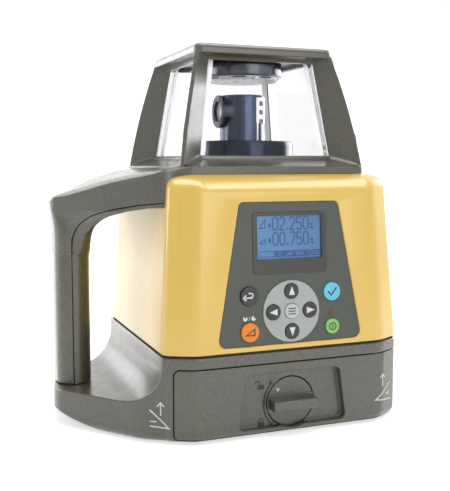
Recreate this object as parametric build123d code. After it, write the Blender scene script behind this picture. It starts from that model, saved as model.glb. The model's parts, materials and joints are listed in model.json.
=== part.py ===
from build123d import *
import math
import os

os.makedirs("parts", exist_ok=True)

# Millimetres. z = 0 is the resting face, x = y = 0 is the spin axis, the front looks along -Y,
# the carrying handle is on -X.

# Body
SEAM_Z = 54.0
GASKET_T = 1.4
GASKET_INSET = 0.8
GASKET_LIP = 1.0
GASKET_W = 0.4
BODY_HALF = 83.2
FRONT_Y = -85.7
REAR_Y = 81.7
LEAN = 0.062
CORNER_X = 18.0
CORNER_Y = 9.5
FRONT_R = 20.0
SIDE_R = 7.0
REAR_R = 28.0
WALL = 2.6
BREAK_Z = 156.0
SHOULDER_Z = 165.5
ROOF_HALF_X = 69.5
ROOF_SWELL = (0.62, 0.22)
ROOF_T = 2.0
ROOF_LIP = 8.0
FIT = 0.25
CUT = 1.0
FAR = 300.0

# Base and its side foot
BASE_EDGE_R = 7.0
BASE_FLOOR = 3.6
BAY_TOP = 46.8
BAY_ROOF = 49.8
FOOT_X = -140.0
FOOT_Y0 = -13.0
FOOT_BACK_X = -131.0
FOOT_KNEE = (-96.5, -66.5)
FOOT_KNEE_R = 40.0
FOOT_Y1 = 32.0
FOOT_IN_X = -60.0
FOOT_IN_Y0 = -70.0
FOOT_IN_Y1 = 60.0
FOOT_FRONT_X = 74.0
FOOT_REAR_Y = 64.0
FOOT_WALL = BASE_EDGE_R - 2.0
FOOT_RIB_X = -112.0
FOOT_RIB_T = 2.4
BAY_WALL = 3.0
LOCK_ROOM_Y = -60.0
LATCH_SLOT_D = 8.0
REAR_WELL_HALF = 70.0
FOOT_R = 17.0
FOOT_Z = 24.0
COVE_R = 24.0
ROCKER_X = -102.0
ROCKER_R = 70.0
TRIPOD_THREAD_R = 6.8
BUSH_R = 12.0
BUSH_H = 20.0
BOSS_R = 19.0
BUSH_RELIEF = 1.5
SCREW_X = 30.0
SCREW_YF = -50.0
SCREW_YR = 48.0
SCREW_R = 2.0
SCREW_HEAD_R = 4.0
SCREW_HEAD_T = 3.5
SCREW_SEAT_Z = 7.0
SCREW_TOP_Z = 58.0
SCREW_BOSS = 4.0
SCREW_SOCKET_R = 1.6
SCREW_SOCKET_D = 1.7

# Battery tray
COVER_X0 = -77.0
COVER_BACK = -76.0
COVER_Z0 = 2.4
COVER_Z1 = 46.4
COVER_R = 3.5
COVER_WRAP_X = 80.2
COVER_WRAP_Y = -52.0
COVER_SKIN = 6.2
COVER_RIM = 4.0
COVER_HOLLOW_X0 = 42.0
COVER_HOLLOW_X1 = 76.0
COVER_HOLLOW_Z0 = 9.0
CREASE_LOW = (60.3, -2.0)
CREASE_HIGH = (52.5, 50.0)
FACET_RIGHT = 0.12
FACET_LEFT = 0.04
SEAM_GAP = 0.4
CELL_R = 17.1
CELL_L = 61.5
CELL_X = 58.0
CELL_Z = 23.6
CELL_Y0 = -71.0
POLE_H = 2.0
POLE_R = 4.5
CELL_TOUCH = 0.05
SPRING_R = 7.0
SPRING_WIRE = 0.8
SPRING_PITCH = 0.75
CONTACT_R = 9.0
CONTACT_T = 0.6
END_PLATE_R = 8.0
TROUGH_END = 2.0
TROUGH_HALF = 18.4
TROUGH_Z0 = 4.0
TROUGH_Z1 = 27.0
TROUGH_Y1 = 58.0
POCKET_DEPTH = 5.2
POCKET_R = 4.0
POCKET_TOP = (32.9, 40.7)
POCKET_BOTTOM = (38.2, 5.0)
LOCK_X = 1.2
KNOB_Z = 19.3
KNOB_R = 16.4
KNOB_GAP = 0.35
KNOB_DISC_T = 2.8
KNOB_BAR = (30.4, 6.6)
KNOB_REACH = 10.0
KNOB_NOSE = 1.0
KNOB_EDGE_R = 1.2
SHAFT_R = 5.0
SHAFT_STEP = 1.5
TONGUE_HUB = 2.5
TONGUE_R = 3.0
TONGUE_GAP = 0.5
TONGUE_L = 29.0
TONGUE_W = 9.0
TONGUE_T = 2.6

# Keypad panel, sizes on the leaning front face
PANEL_Z = 100.0
PANEL_TOP = (34.3, 148.6)
PANEL_BOTTOM = (50.5, 58.7)
PANEL_R = 5.0
PANEL_TOP_R = 3.5
PANEL_SINK = 0.9
PANEL_T = 3.2
PANEL_CUT = 8.0
PANEL_FLANGE = 3.0
FLANGE_GAP = 0.15
BEZEL_W = 51.5
BEZEL_H = 38.8
BEZEL_Z = 122.65
BEZEL_R = 2.5
BEZEL_SEAT = 1.7
BEZEL_PROUD = 0.4
LCD_W = 45.0
LCD_H = 27.2
LCD_Z = 126.2
WINDOW_LIFT = 0.2
MODULE_W = 8.0
MODULE_H = 7.0
MODULE_T = 5.0
RING_R = 19.6
RING_SEAT = 1.2
RING_PROUD = 0.7
RING_Z = 79.2
ARROW_D = 12.8
ARROW_R = 4.9
MENU_R = 4.8
SIDE_KEY_X = 28.9
KEY_HIGH_Z = 90.1
KEY_LOW_Z = 67.6
BACK_R = 6.0
ENTER_R = 5.9
AXIS_R = 6.0
POWER_R = 4.9
LED_Z = 76.2
LED_R = 1.5
KEY_GAP = 0.3
KEY_PROUD = 0.6
KEY_TRAVEL = 0.8
KEY_FLANGE = 1.0
KEY_FLANGE_T = 0.8
KEY_FLANGE_GAP = 0.2
KEY_EDGE_R = 0.5
LED_PROUD = 0.3
LED_FIT = 0.1
MEMBRANE_W = 76.0
MEMBRANE_H = 38.0
MEMBRANE_T = 0.8
MEMBRANE_GAP = 0.3
BOARD_W = 80.0
BOARD_H = 39.0
BOARD_T = 1.6
PANEL_SCREW_X = 37.5
PANEL_SCREW_UP = 17.0
PANEL_SCREW_R = 1.2
PANEL_SCREW_HEAD_R = 2.4
PANEL_SCREW_HEAD_T = 1.55
SPACER_R = 2.8
SCREW_SLACK = 0.05

# Upper housing, arm and grip
LANTERN_Y = 6.0
SHOULDER_HALF = 66.5
SHOULDER_R = 6.0
SILL_Z0 = 170.5
SILL_Z1 = 176.2
SILL_HALF = 49.6
SILL_OPEN = 43.5
SHOULDER_GAP = 0.2
SHOULDER_WALL = 5.0
SILL_SET = 0.9
SILL_R = 4.0
SILL_T = 3.4
FLOOR_T = 4.8
FLOOR_FLANGE = 3.0
FLOOR_FLANGE_T = 2.2
FLOOR_DROP = 0.2
GRIP_X0 = -135.2
GRIP_X1 = -112.0
GRIP_SEAM_X = -125.3
GRIP_Y0 = -9.0
GRIP_Y1 = 21.0
GRIP_R = 11.0
GRIP_Z0 = FOOT_Z + 0.6
HANDLE_SEAM = 0.3
HANDLE_SEAM_R = 24.0
GRIP_CORE_X = 3.5
GRIP_CORE_Y = 5.0
GRIP_CORE_Z = (32.0, 126.0)
HANDLE_TIP_X = -137.6
HANDLE_TIP_Z = 150.0
HANDLE_TIP_HALF = 5.4
HANDLE_NECK_Z = 128.0
HANDLE_NECK_R = 60.0
HANDLE_OUT_R = 5.0
HANDLE_IN_R = 13.0
ARM_IN_X = -50.0
ARM_IN_Y = -58.0
ARM_MID_X = -66.0
ARM_MID_Y = -63.0
ARM_ROOT_X = -79.0
ARM_HALF_Y = 66.0
ARM_ROOT_R = 14.0
ARM_WALL = 4.0
# Sections of the neck between grip and arm: height, left x, right x, half width on the left, reach to the
# front and to the rear on the right, corner radius on the right
NECK_SECTIONS = (
    (98.0, GRIP_X0, GRIP_X1, 15.0, 15.0, 15.0, GRIP_R),
    (111.0, GRIP_X0, GRIP_X1, 14.8, 15.5, 15.4, 10.4),
    (122.0, -135.3, -111.0, 13.6, 19.3, 18.3, 7.2),
    (129.0, -135.6, -109.0, 11.8, 25.0, 22.6, 4.5),
    (134.0, -136.3, -104.0, 9.0, 35.6, 30.5, 3.2),
    (138.0, -137.2, -97.0, 6.3, 48.9, 41.1, 3.0),
    (142.0, HANDLE_TIP_X, -94.0, HANDLE_TIP_HALF, 54.95, 46.0, 3.0),
)
NECK_X = -98.5
ARM_Z0 = 136.0
CROWN_H = 1.6
CROWN_TILT = 1.5
CROWN_W = 10.0

# Lantern
PANE_Z0 = SILL_Z1 + 0.1
PANE_Z1 = 243.4
PANE_HALF0 = 47.9
PANE_HALF1 = 38.2
PANE_T = 2.5
PANE_GAP = 0.3
CAP_HALF = 49.8
CAP_R = 6.0
CAP_Z0 = 243.5
CAP_Z1 = 250.0
FIN_T = 3.0
FIN_TOP_R = 68.3
FIN_FOOT_R = 91.2
FIN_FOOT_Z = SILL_Z0 + 0.05
FIN_BULGE = 1.8
FIN_GAP = 0.4
FIN_SILL_GAP = 0.15
CAP_EDGE_R = 4.0
CAP_LAP = 1.5
SHROUD_R = 36.5
SHROUD_EDGE_R = 2.5
SHROUD_BORE = 26.0
SHROUD_Z = 188.0
DRUM_R = 28.0
DRUM_Z = 232.3
DRUM_COVER_R = 25.5
DRUM_COVER_Z = 230.0
DRUM_WALL = 6.0
DRUM_ROOF = 2.5
DRUM_EDGE_R = 1.5
DRUM_COVER_EDGE = 1.2
DRUM_SCREW_PCR = 24.0
DRUM_SCREW_R = 1.2
DRUM_SCREW_HEAD_R = 2.4
DRUM_SCREW_HEAD_T = 1.4
DRUM_SCREW_SINK = 0.2

# Head drive
PIVOT_Z = 146.0
RING_IN_R = 33.0
RING_OUT_R = RING_IN_R + 7.0
RING_HALF_H = 6.0
PIN_R = 3.0
RUN_FIT = 0.05
UPRIGHT_X0 = RING_OUT_R + 6.0
UPRIGHT_X1 = UPRIGHT_X0 + 8.0
UPRIGHT_HALF_Y = 12.0
UPRIGHT_SLOT = 6.0
UPRIGHT_SLOT_Z = (72.0, 128.0)
UPRIGHT_OVER = 9.0
PIN_IN = 5.0
RING_PIN_L = 8.0
PLATE_X = 62.0
PLATE_Y0 = -66.0
PLATE_Y1 = 64.0
PLATE_Z0 = 57.0
PLATE_Z1 = 60.0
PLATE_BORE = 26.0
BOARD_POST_X = 40.0
BOARD_POST_HALF = 4.0
BOARD_POST_Z = 74.0
MAIN_BOARD_HALF = 52.0
MAIN_BOARD_Z = (64.0, 136.0)
HOUSING_R = 22.0
HOUSING_Z0 = 104.0
HOUSING_Z1 = 172.0
BEARING_R = 13.0
BEARING_H = 8.0
SPINDLE_R = 8.0
SPINDLE_BORE = 4.5
SPINDLE_Z0 = 88.5
SPINDLE_Z1 = 181.0
HUB_R = 15.0
HUB_LIFT = 3.0
POST_R = 9.0
PRISM_Z = 199.0
BEARING_RACE = 1.5
BORE_STEP = 2.0
HOUSING_FLANGE_R = 30.0
HOUSING_FLANGE_T = 3.0
TRUNNION_R = 7.0
TRUNNION_GAP = 3.0
CRADLE_X = 27.0
CRADLE_T = 4.0
CRADLE_HALF_Y = 6.0
CRADLE_Z0 = 68.0
CRADLE_Z1 = 71.5
CRADLE_HALF_X = 29.0
CRADLE_Y = 26.0
PULLEY_Z0 = 89.0
PULLEY_Z1 = 97.0
PULLEY_R = 17.0
MOTOR_Y = 42.0
MOTOR_R = 12.0
MOTOR_H = 28.0
MOTOR_EDGE_R = 1.5
MOTOR_SPIGOT_R = 3.8
MOTOR_SHAFT_R = 1.5
MOTOR_SHAFT_GAP = 0.3
MOTOR_PAD = 15.0
MOTOR_PULLEY_R = 6.0
PULLEY_RIM = 2.0
PULLEY_RIM_T = 1.0
BELT_SIDE = 0.5
BELT_T = 1.2
BELT_GAP = 0.3
TURRET_R = 16.0
TURRET_WALL = 2.5
TURRET_Z = 220.2
BARREL_R = 11.4
BARREL_Z = 208.8
BARREL_X = -17.0
LENS_R = 8.2
LENS_T = 2.0
LENS_SET = 0.6
EXIT_RING_T = 1.8
EXIT_RING_LIP = 0.8
TURRET_EDGE_R = 1.0
PRISM_HALF = 7.0
PRISM_T = 13.0
LASER_Z0 = 63.0
LASER_Z1 = 86.0
LASER_R = 8.4
LASER_FLANGE_R = 12.5
LASER_FLANGE_T = 2.5
LASER_MOUTH_R = 4.0
LASER_MOUTH_D = 6.0
VIAL_R = 3.6
VIAL_Z = 75.2
VIAL_A_Y = 19.0
VIAL_A_HALF = 20.0
VIAL_B_X = -18.0
VIAL_B_Y = (-25.0, 12.0)
VIAL_SADDLE_HALF = 2.5
VIAL_SADDLE_T = 2.0

# Tilt drives
LIFT_X_Y = -RING_OUT_R - 18.0
LIFT_X_TOP = 92.0
LIFT_X_HALF = 8.0
LIFT_X_WALL = 3.0
LIFT_X_SLOT = (64.0, 86.0)
LIFT_Y_X = 38.0
LIFT_Y_Y = 24.0
LEAD_R = 2.0
NUT_WAIST_R = 3.2
NUT_FLANGE_R = 7.0
FORK_T = 2.2
FORK_FREE = 1.2
FORK_HALF = 7.0
FORK_REACH = 6.0
FORK_PLAY = 0.8
ROCKER_HALF = 8.0
ROCKER_IN = 15.0
ROCKER_PLAY = 2.2
ROCKER_LIFT = 13.5
LUG_R = 10.0
LUG_DROP = 2.0
LUG_PLAY = 0.4
NUT_FLANGE_T = 1.6
LIFT_MOTOR_X_R = 8.0
LIFT_MOTOR_X_H = 24.0
LIFT_MOTOR_Y_R = 7.0
LIFT_MOTOR_Y_H = 22.0
LEAD_GAP = 0.3
LEAD_OVER_X = 13.0
LEAD_OVER_Y = 8.0


def box(x0, x1, y0, y1, z0, z1):
    return Pos((x0 + x1) / 2, (y0 + y1) / 2, (z0 + z1) / 2) * Box(x1 - x0, y1 - y0, z1 - z0)


def cyl(x, y, z0, z1, r):
    return Pos(x, y, (z0 + z1) / 2) * Cylinder(r, z1 - z0)


def cyl_x(x0, x1, y, z, r):
    return Pos((x0 + x1) / 2, y, z) * Rot(0, 90, 0) * Cylinder(r, x1 - x0)


def cyl_y(x, y0, y1, z, r):
    return Pos(x, (y0 + y1) / 2, z) * Rot(90, 0, 0) * Cylinder(r, y1 - y0)


def slab_y(sketch, y0, y1):
    return extrude(Plane((0, y1, 0), x_dir=(1, 0, 0), z_dir=(0, -1, 0)) * sketch, y1 - y0, dir=(0, -1, 0))


def slab_z(sketch, z0, z1):
    return extrude(Pos(0, 0, z0) * sketch, z1 - z0, dir=(0, 0, 1))


def square(half, radius):
    return Pos(0, LANTERN_Y) * RectangleRounded(2 * half, 2 * half, radius)


def save(shape, node):
    export_step(shape, "parts/" + node + ".step")


# Body outline, wider at the seam than at the shoulder
def outline(half, y_front, y_rear, cut_x, cut_y, r_front, r_side, r_rear):
    face = Polygon(
        (-half + cut_x, y_front),
        (half - cut_x, y_front),
        (half, y_front + cut_y),
        (half, y_rear),
        (-half, y_rear),
        (-half, y_front + cut_y),
        align=None,
    )
    face = fillet(face.vertices().sort_by(Axis.Y)[-2:], r_rear)
    face = fillet(face.vertices().sort_by(Axis.Y)[2:4], r_side)
    return fillet(face.vertices().sort_by(Axis.Y)[:2], r_front)


def body_section(z, grow):
    lean = LEAN * (z - SEAM_Z)
    return outline(
        BODY_HALF - lean + grow,
        FRONT_Y + lean - grow,
        REAR_Y - lean + grow,
        CORNER_X,
        CORNER_Y,
        FRONT_R + grow,
        SIDE_R + grow,
        REAR_R + grow,
    )


def roof_section(rise, inset, grow):
    lean = LEAN * (BREAK_Z - SEAM_Z)
    wall_x, wall_front, wall_rear = BODY_HALF - lean, FRONT_Y + lean, REAR_Y - lean
    return outline(
        wall_x + (ROOF_HALF_X - wall_x) * inset + grow,
        wall_front + (LANTERN_Y - SHOULDER_HALF - wall_front) * rise - grow,
        wall_rear + (LANTERN_Y + SHOULDER_HALF - wall_rear) * inset + grow,
        CORNER_X * (1 - 0.3 * rise),
        CORNER_Y * (1 - 0.3 * rise),
        FRONT_R * (1 - 0.4 * rise) + grow,
        SIDE_R * (1 - 0.2 * rise) + grow,
        REAR_R * (1 - 0.6 * inset) + grow,
    )


def body_solid(z0, grow, drop):
    wall_top = BREAK_Z - drop
    foot = Pos(0, 0, z0) * body_section(z0, grow)
    edge = Pos(0, 0, wall_top) * body_section(wall_top, grow)
    swell_z = wall_top + (SHOULDER_Z - BREAK_Z) * ROOF_SWELL[0]
    swell = Pos(0, 0, swell_z) * roof_section(*ROOF_SWELL, grow)
    top = Pos(0, 0, SHOULDER_Z - drop) * roof_section(1, 1, grow)
    return loft([foot, edge], ruled=True) + loft([edge, swell], ruled=True) + loft([swell, top], ruled=True)


# Leaning front face: local x across, local y up the face, local z outwards
LEAN_COS = math.cos(math.atan(LEAN))
LEAN_SIN = math.sin(math.atan(LEAN))
PANEL = Plane(
    (0, FRONT_Y + LEAN * (PANEL_Z - SEAM_Z), PANEL_Z),
    x_dir=(1, 0, 0),
    z_dir=(0, -LEAN_COS, LEAN_SIN),
)


def on_panel(sketch, x, z, d0, d1):
    up = (z - PANEL_Z) / LEAN_COS
    return extrude(PANEL.offset(d0) * Pos(x, up) * sketch, d1 - d0, dir=PANEL.z_dir)


def panel_shape(grow):
    top = (PANEL_TOP[1] - PANEL_Z) / LEAN_COS + grow
    bottom = (PANEL_BOTTOM[1] - PANEL_Z) / LEAN_COS - grow
    face = Polygon(
        (-PANEL_BOTTOM[0] - grow, bottom),
        (PANEL_BOTTOM[0] + grow, bottom),
        (PANEL_TOP[0] + grow, top),
        (-PANEL_TOP[0] - grow, top),
        align=None,
    )
    face = fillet(face.vertices().sort_by(Axis.Y)[:2], PANEL_R + grow)
    return fillet(face.vertices().sort_by(Axis.Y)[-2:], PANEL_TOP_R + grow)


# Base envelope with the foot under the handle
foot_plan = Polygon(
    (FOOT_IN_X, FOOT_IN_Y0),
    (-FOOT_FRONT_X, FRONT_Y + CORNER_Y * (FOOT_FRONT_X - BODY_HALF + CORNER_X) / CORNER_X),
    FOOT_KNEE,
    (FOOT_X, FOOT_Y0),
    (FOOT_BACK_X, FOOT_Y1),
    (-BODY_HALF, FOOT_REAR_Y),
    (FOOT_IN_X, FOOT_IN_Y1),
    align=None,
)
foot_plan = fillet(foot_plan.vertices().sort_by(Axis.X)[:2], FOOT_R)
knee = foot_plan.vertices().filter_by_position(Axis.X, FOOT_KNEE[0] - CUT, FOOT_KNEE[0] + CUT)
foot_plan = fillet(knee, FOOT_KNEE_R)
envelope = Part()
for plan in (body_section(SEAM_Z, 0), foot_plan):
    block = slab_z(plan, 0, SEAM_Z)
    envelope = envelope + fillet(block.faces().sort_by(Axis.Z)[0].edges(), BASE_EDGE_R)
cove = make_face(
    Polyline(
        (-BODY_HALF - COVE_R, FOOT_Z),
        (FOOT_X - CUT, FOOT_Z),
        (FOOT_X - CUT, SEAM_Z + CUT),
        (-BODY_HALF, SEAM_Z + CUT),
        (-BODY_HALF, FOOT_Z + COVE_R),
    )
    + RadiusArc((-BODY_HALF, FOOT_Z + COVE_R), (-BODY_HALF - COVE_R, FOOT_Z), COVE_R)
)
envelope = envelope - slab_y(cove, -FAR, FAR)
rocker_end = FOOT_X - CUT
rocker_rise = ROCKER_R - math.sqrt(ROCKER_R**2 - (ROCKER_X - rocker_end) ** 2)
rocker = make_face(
    Polyline((ROCKER_X, 0), (ROCKER_X, -CUT), (rocker_end, -CUT), (rocker_end, rocker_rise))
    + RadiusArc((rocker_end, rocker_rise), (ROCKER_X, 0), -ROCKER_R)
)
envelope = envelope - slab_y(rocker, -FAR, FAR)


# Outline of the tray's front cover
def cover_face(grow):
    face = Polygon(
        (COVER_X0 - grow, COVER_Z0 - grow),
        (FAR, COVER_Z0 - grow),
        (FAR, COVER_Z1 + grow),
        (COVER_X0 - grow, COVER_Z1 + grow),
        align=None,
    )
    return fillet(face.vertices().sort_by(Axis.X)[:2], COVER_R + grow)


# Base housing
bay_half = TROUGH_HALF + SEAM_GAP
door_z0 = COVER_Z0 - SEAM_GAP
door_z1 = COVER_Z1 + SEAM_GAP
base = envelope - slab_y(cover_face(SEAM_GAP), -FAR, COVER_BACK + SEAM_GAP)
base = base - box(COVER_WRAP_X - SEAM_GAP, FAR, COVER_BACK, COVER_WRAP_Y + SEAM_GAP, door_z0, door_z1)
for side in (-1, 1):
    base = base - box(
        side * CELL_X - bay_half,
        side * CELL_X + bay_half,
        COVER_BACK,
        TROUGH_Y1 + SEAM_GAP,
        BASE_FLOOR,
        BAY_TOP,
    )
bay_inner = CELL_X - bay_half
base = base - box(-bay_inner, bay_inner, COVER_BACK, LOCK_ROOM_Y, BASE_FLOOR, BAY_TOP)
inside = body_section(SEAM_Z, -WALL - GASKET_LIP)
top_cavity = slab_z(inside, BAY_ROOF, SEAM_Z + CUT)
well_z0 = BASE_FLOOR + BAY_WALL
well = box(-bay_inner + WALL, bay_inner - WALL, LOCK_ROOM_Y + BAY_WALL, TROUGH_Y1, well_z0, SEAM_Z)
rear_room = box(-REAR_WELL_HALF, REAR_WELL_HALF, TROUGH_Y1 + BAY_WALL, FAR, 0, SEAM_Z)
rear_well = slab_z(inside, well_z0, SEAM_Z) & rear_room
base = base - top_cavity - well - rear_well
base = base + cyl(0, 0, BASE_FLOOR, BUSH_H + BAY_WALL, BOSS_R)
for sx in (-SCREW_X, SCREW_X):
    for sy in (SCREW_YF, SCREW_YR):
        base = base + cyl(sx, sy, BASE_FLOOR, BAY_ROOF, SCREW_R + SCREW_BOSS)
        base = base - cyl(sx, sy, 0, BAY_ROOF, SCREW_R + FIT)
        base = base - cyl(sx, sy, 0, SCREW_SEAT_Z, SCREW_HEAD_R + FIT)
base = base - cyl(0, 0, 0, BUSH_H, BUSH_R + RUN_FIT)
base = base - cyl(0, 0, 0, BUSH_H + BAY_WALL, TRIPOD_THREAD_R + BUSH_RELIEF)
foot_core = slab_z(offset(foot_plan, -FOOT_WALL), 0, FOOT_Z - FOOT_WALL)
foot_core = foot_core & box(FOOT_X, -BODY_HALF - CUT, -FAR, FAR, 0, FOOT_Z)
rib_half = FOOT_RIB_T / 2
foot_ribs = box(FOOT_X, 0, LANTERN_Y - rib_half, LANTERN_Y + rib_half, 0, FOOT_Z)
foot_ribs = foot_ribs + box(FOOT_RIB_X - rib_half, FOOT_RIB_X + rib_half, -FAR, FAR, 0, FOOT_Z)
base = base - (foot_core - foot_ribs)
latch_y1 = COVER_BACK + LATCH_SLOT_D
latch_x0, latch_x1 = LOCK_X - TONGUE_W, LOCK_X + TONGUE_L * 0.6
base = base - box(latch_x0, latch_x1, COVER_BACK, latch_y1, BAY_TOP - CUT, BAY_ROOF + CUT)
save(base, "base_housing")

# Tripod bush with its 5/8 inch thread bore
bush = cyl(0, 0, 0, BUSH_H, BUSH_R) - cyl(0, 0, 0, BUSH_H, TRIPOD_THREAD_R)
save(bush, "tripod_bush")


# Front cover of the battery tray, with its turned-back side facets
def facet(side, slope):
    def tri(crease, z):
        reach = FAR - crease
        return Pos(0, 0, z) * Polygon(
            (side * crease, FRONT_Y),
            (side * crease, FRONT_Y - CUT),
            (side * FAR, FRONT_Y - CUT),
            (side * FAR, FRONT_Y + slope * reach),
            align=None,
        )

    return loft([tri(*CREASE_LOW), tri(*CREASE_HIGH)], ruled=True)


cover = envelope & slab_y(cover_face(0), -FAR, COVER_BACK)
cover = cover + (envelope & box(COVER_WRAP_X, FAR, COVER_BACK - CUT, COVER_WRAP_Y, COVER_Z0, COVER_Z1))
cover = cover - facet(1, FACET_RIGHT) - facet(-1, FACET_LEFT)
for x0, x1 in ((COVER_X0 + COVER_RIM, -COVER_HOLLOW_X0), (COVER_HOLLOW_X0, COVER_HOLLOW_X1)):
    cover = cover - box(x0, x1, FRONT_Y + COVER_SKIN, COVER_BACK, COVER_HOLLOW_Z0, COVER_Z1 - COVER_RIM)
pocket = Polygon(
    (LOCK_X - POCKET_BOTTOM[0], POCKET_BOTTOM[1]),
    (LOCK_X + POCKET_BOTTOM[0], POCKET_BOTTOM[1]),
    (LOCK_X + POCKET_TOP[0], POCKET_TOP[1]),
    (LOCK_X - POCKET_TOP[0], POCKET_TOP[1]),
    align=None,
)
pocket = fillet(pocket.vertices(), POCKET_R)
pocket_floor = FRONT_Y + POCKET_DEPTH
cover = cover - slab_y(pocket, FRONT_Y - CUT, pocket_floor)
knob_sweep = math.hypot(KNOB_BAR[0] / 2, KNOB_BAR[1] / 2) + KNOB_GAP
cover = cover - cyl_y(LOCK_X, FRONT_Y - CUT, pocket_floor, KNOB_Z, knob_sweep)
disc_back = pocket_floor + KNOB_DISC_T
cover = cover - cyl_y(LOCK_X, pocket_floor - CUT, disc_back, KNOB_Z, KNOB_R + KNOB_GAP)
cover = cover - cyl_y(LOCK_X, pocket_floor, COVER_BACK + CUT, KNOB_Z, SHAFT_R + KNOB_GAP)

# Tray troughs, each holding two cells end to end
cell_y1 = CELL_Y0 + 2 * CELL_L
tray = cover
for side in (-1, 1):
    cx = side * CELL_X
    bed_r = CELL_R + FIT
    trough = box(cx - TROUGH_HALF, cx + TROUGH_HALF, COVER_BACK - CUT, TROUGH_Y1, TROUGH_Z0, TROUGH_Z1)
    bed_y0 = COVER_BACK + TROUGH_END
    bed_y1 = TROUGH_Y1 - TROUGH_END
    trough = trough - cyl_y(cx, bed_y0, bed_y1, CELL_Z, bed_r)
    tray = tray + trough - box(cx - bed_r, cx + bed_r, bed_y0, bed_y1, CELL_Z, TROUGH_Z1 + CUT)
save(tray, "battery_tray")

# Cells with their raised poles
cells = []
for side in (-1, 1):
    for k in range(2):
        y0 = CELL_Y0 + k * CELL_L
        can = cyl_y(side * CELL_X, y0, y0 + CELL_L - POLE_H, CELL_Z, CELL_R)
        cells.append(can + cyl_y(side * CELL_X, y0, y0 + CELL_L - CELL_TOUCH, CELL_Z, POLE_R))
save(Compound(cells), "d_cells")

# Cell contacts: coil springs at the front, plates at the rear
contacts = []
for side in (-1, 1):
    plate_y = COVER_BACK + TROUGH_END
    spring = cyl_y(side * CELL_X, plate_y, plate_y + CONTACT_T, CELL_Z, CONTACT_R)
    for k in range(3):
        coil_y = plate_y + CONTACT_T + SPRING_PITCH * k
        coil_r = SPRING_R - SPRING_WIRE * 1.25 * k
        coil = cyl_y(side * CELL_X, coil_y, coil_y + SPRING_WIRE, CELL_Z, coil_r)
        coil = coil - cyl_y(side * CELL_X, plate_y, CELL_Y0, CELL_Z, coil_r - SPRING_WIRE * 2.25)
        spring = spring + coil
    contacts.append(spring)
    end_plate = cyl_y(side * CELL_X, cell_y1, TROUGH_Y1 - TROUGH_END, CELL_Z, END_PLATE_R)
    contacts.append(end_plate & box(-FAR, FAR, -FAR, FAR, 0, TROUGH_Z1))
save(Compound(contacts), "cell_contacts")

# Lock knob with its shaft, and the tongue behind the cover
knob_face = pocket_floor
knob = cyl_y(LOCK_X, knob_face, disc_back - KNOB_GAP, KNOB_Z, KNOB_R)
bar = box(
    LOCK_X - KNOB_BAR[0] / 2,
    LOCK_X + KNOB_BAR[0] / 2,
    knob_face - KNOB_REACH,
    knob_face + CUT,
    KNOB_Z - KNOB_BAR[1] / 2,
    KNOB_Z + KNOB_BAR[1] / 2,
)
bar = chamfer(bar.faces().sort_by(Axis.Y)[0].edges().filter_by(Axis.Z), KNOB_NOSE)
bar = fillet(bar.faces().sort_by(Axis.Y)[0].edges().filter_by(Axis.X), KNOB_EDGE_R)
knob = knob + bar
tongue_y0 = COVER_BACK + TONGUE_GAP
tongue_y1 = tongue_y0 + TONGUE_T
knob = knob + cyl_y(LOCK_X, knob_face + CUT, tongue_y0, KNOB_Z, SHAFT_R)
knob = knob + cyl_y(LOCK_X, knob_face + CUT, tongue_y1, KNOB_Z, SHAFT_R - SHAFT_STEP)
save(knob, "lock_knob")

tongue_x1 = LOCK_X + TONGUE_L
tongue = box(LOCK_X, tongue_x1, tongue_y0, tongue_y1, KNOB_Z - TONGUE_W / 2, KNOB_Z + TONGUE_W / 2)
tongue = fillet(tongue.edges().filter_by(Axis.Y).sort_by(Axis.X)[-2:], TONGUE_R)
tongue = tongue + cyl_y(LOCK_X, tongue_y0, tongue_y1, KNOB_Z, SHAFT_R + TONGUE_HUB)
tongue = tongue - cyl_y(LOCK_X, tongue_y0 - CUT, tongue_y1 + CUT, KNOB_Z, SHAFT_R - SHAFT_STEP)
save(tongue, "lock_tongue")

# Base screws, driven up into the chassis feet
screws = []
for sx in (-SCREW_X, SCREW_X):
    for sy in (SCREW_YF, SCREW_YR):
        head_z = SCREW_SEAT_Z - SCREW_HEAD_T
        screw = cyl(sx, sy, head_z, SCREW_SEAT_Z, SCREW_HEAD_R)
        screw = screw + cyl(sx, sy, SCREW_SEAT_Z, SCREW_TOP_Z, SCREW_R)
        screws.append(screw - cyl(sx, sy, head_z, head_z + SCREW_SOCKET_D, SCREW_SOCKET_R))
save(Compound(screws), "base_screws")

# Gasket between base and body
gasket = slab_z(body_section(SEAM_Z, -GASKET_INSET), SEAM_Z, SEAM_Z + GASKET_T)
gasket_in = body_section(SEAM_Z, GASKET_W - WALL - GASKET_LIP)
gasket = gasket - slab_z(gasket_in, SEAM_Z - CUT, SEAM_Z + GASKET_T + CUT)
save(gasket, "body_gasket")

# Yellow body shell
shell_z0 = SEAM_Z + GASKET_T
shell = body_solid(shell_z0, 0, 0) - body_solid(shell_z0 - CUT, -WALL, ROOF_T)
shell = shell - slab_z(square(SHOULDER_HALF - ROOF_LIP, ROOF_LIP), BREAK_Z, SHOULDER_Z + CUT)
shell = shell - on_panel(panel_shape(0), 0, PANEL_Z, -PANEL_CUT, PANEL_CUT)
save(shell, "body_shell")

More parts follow.
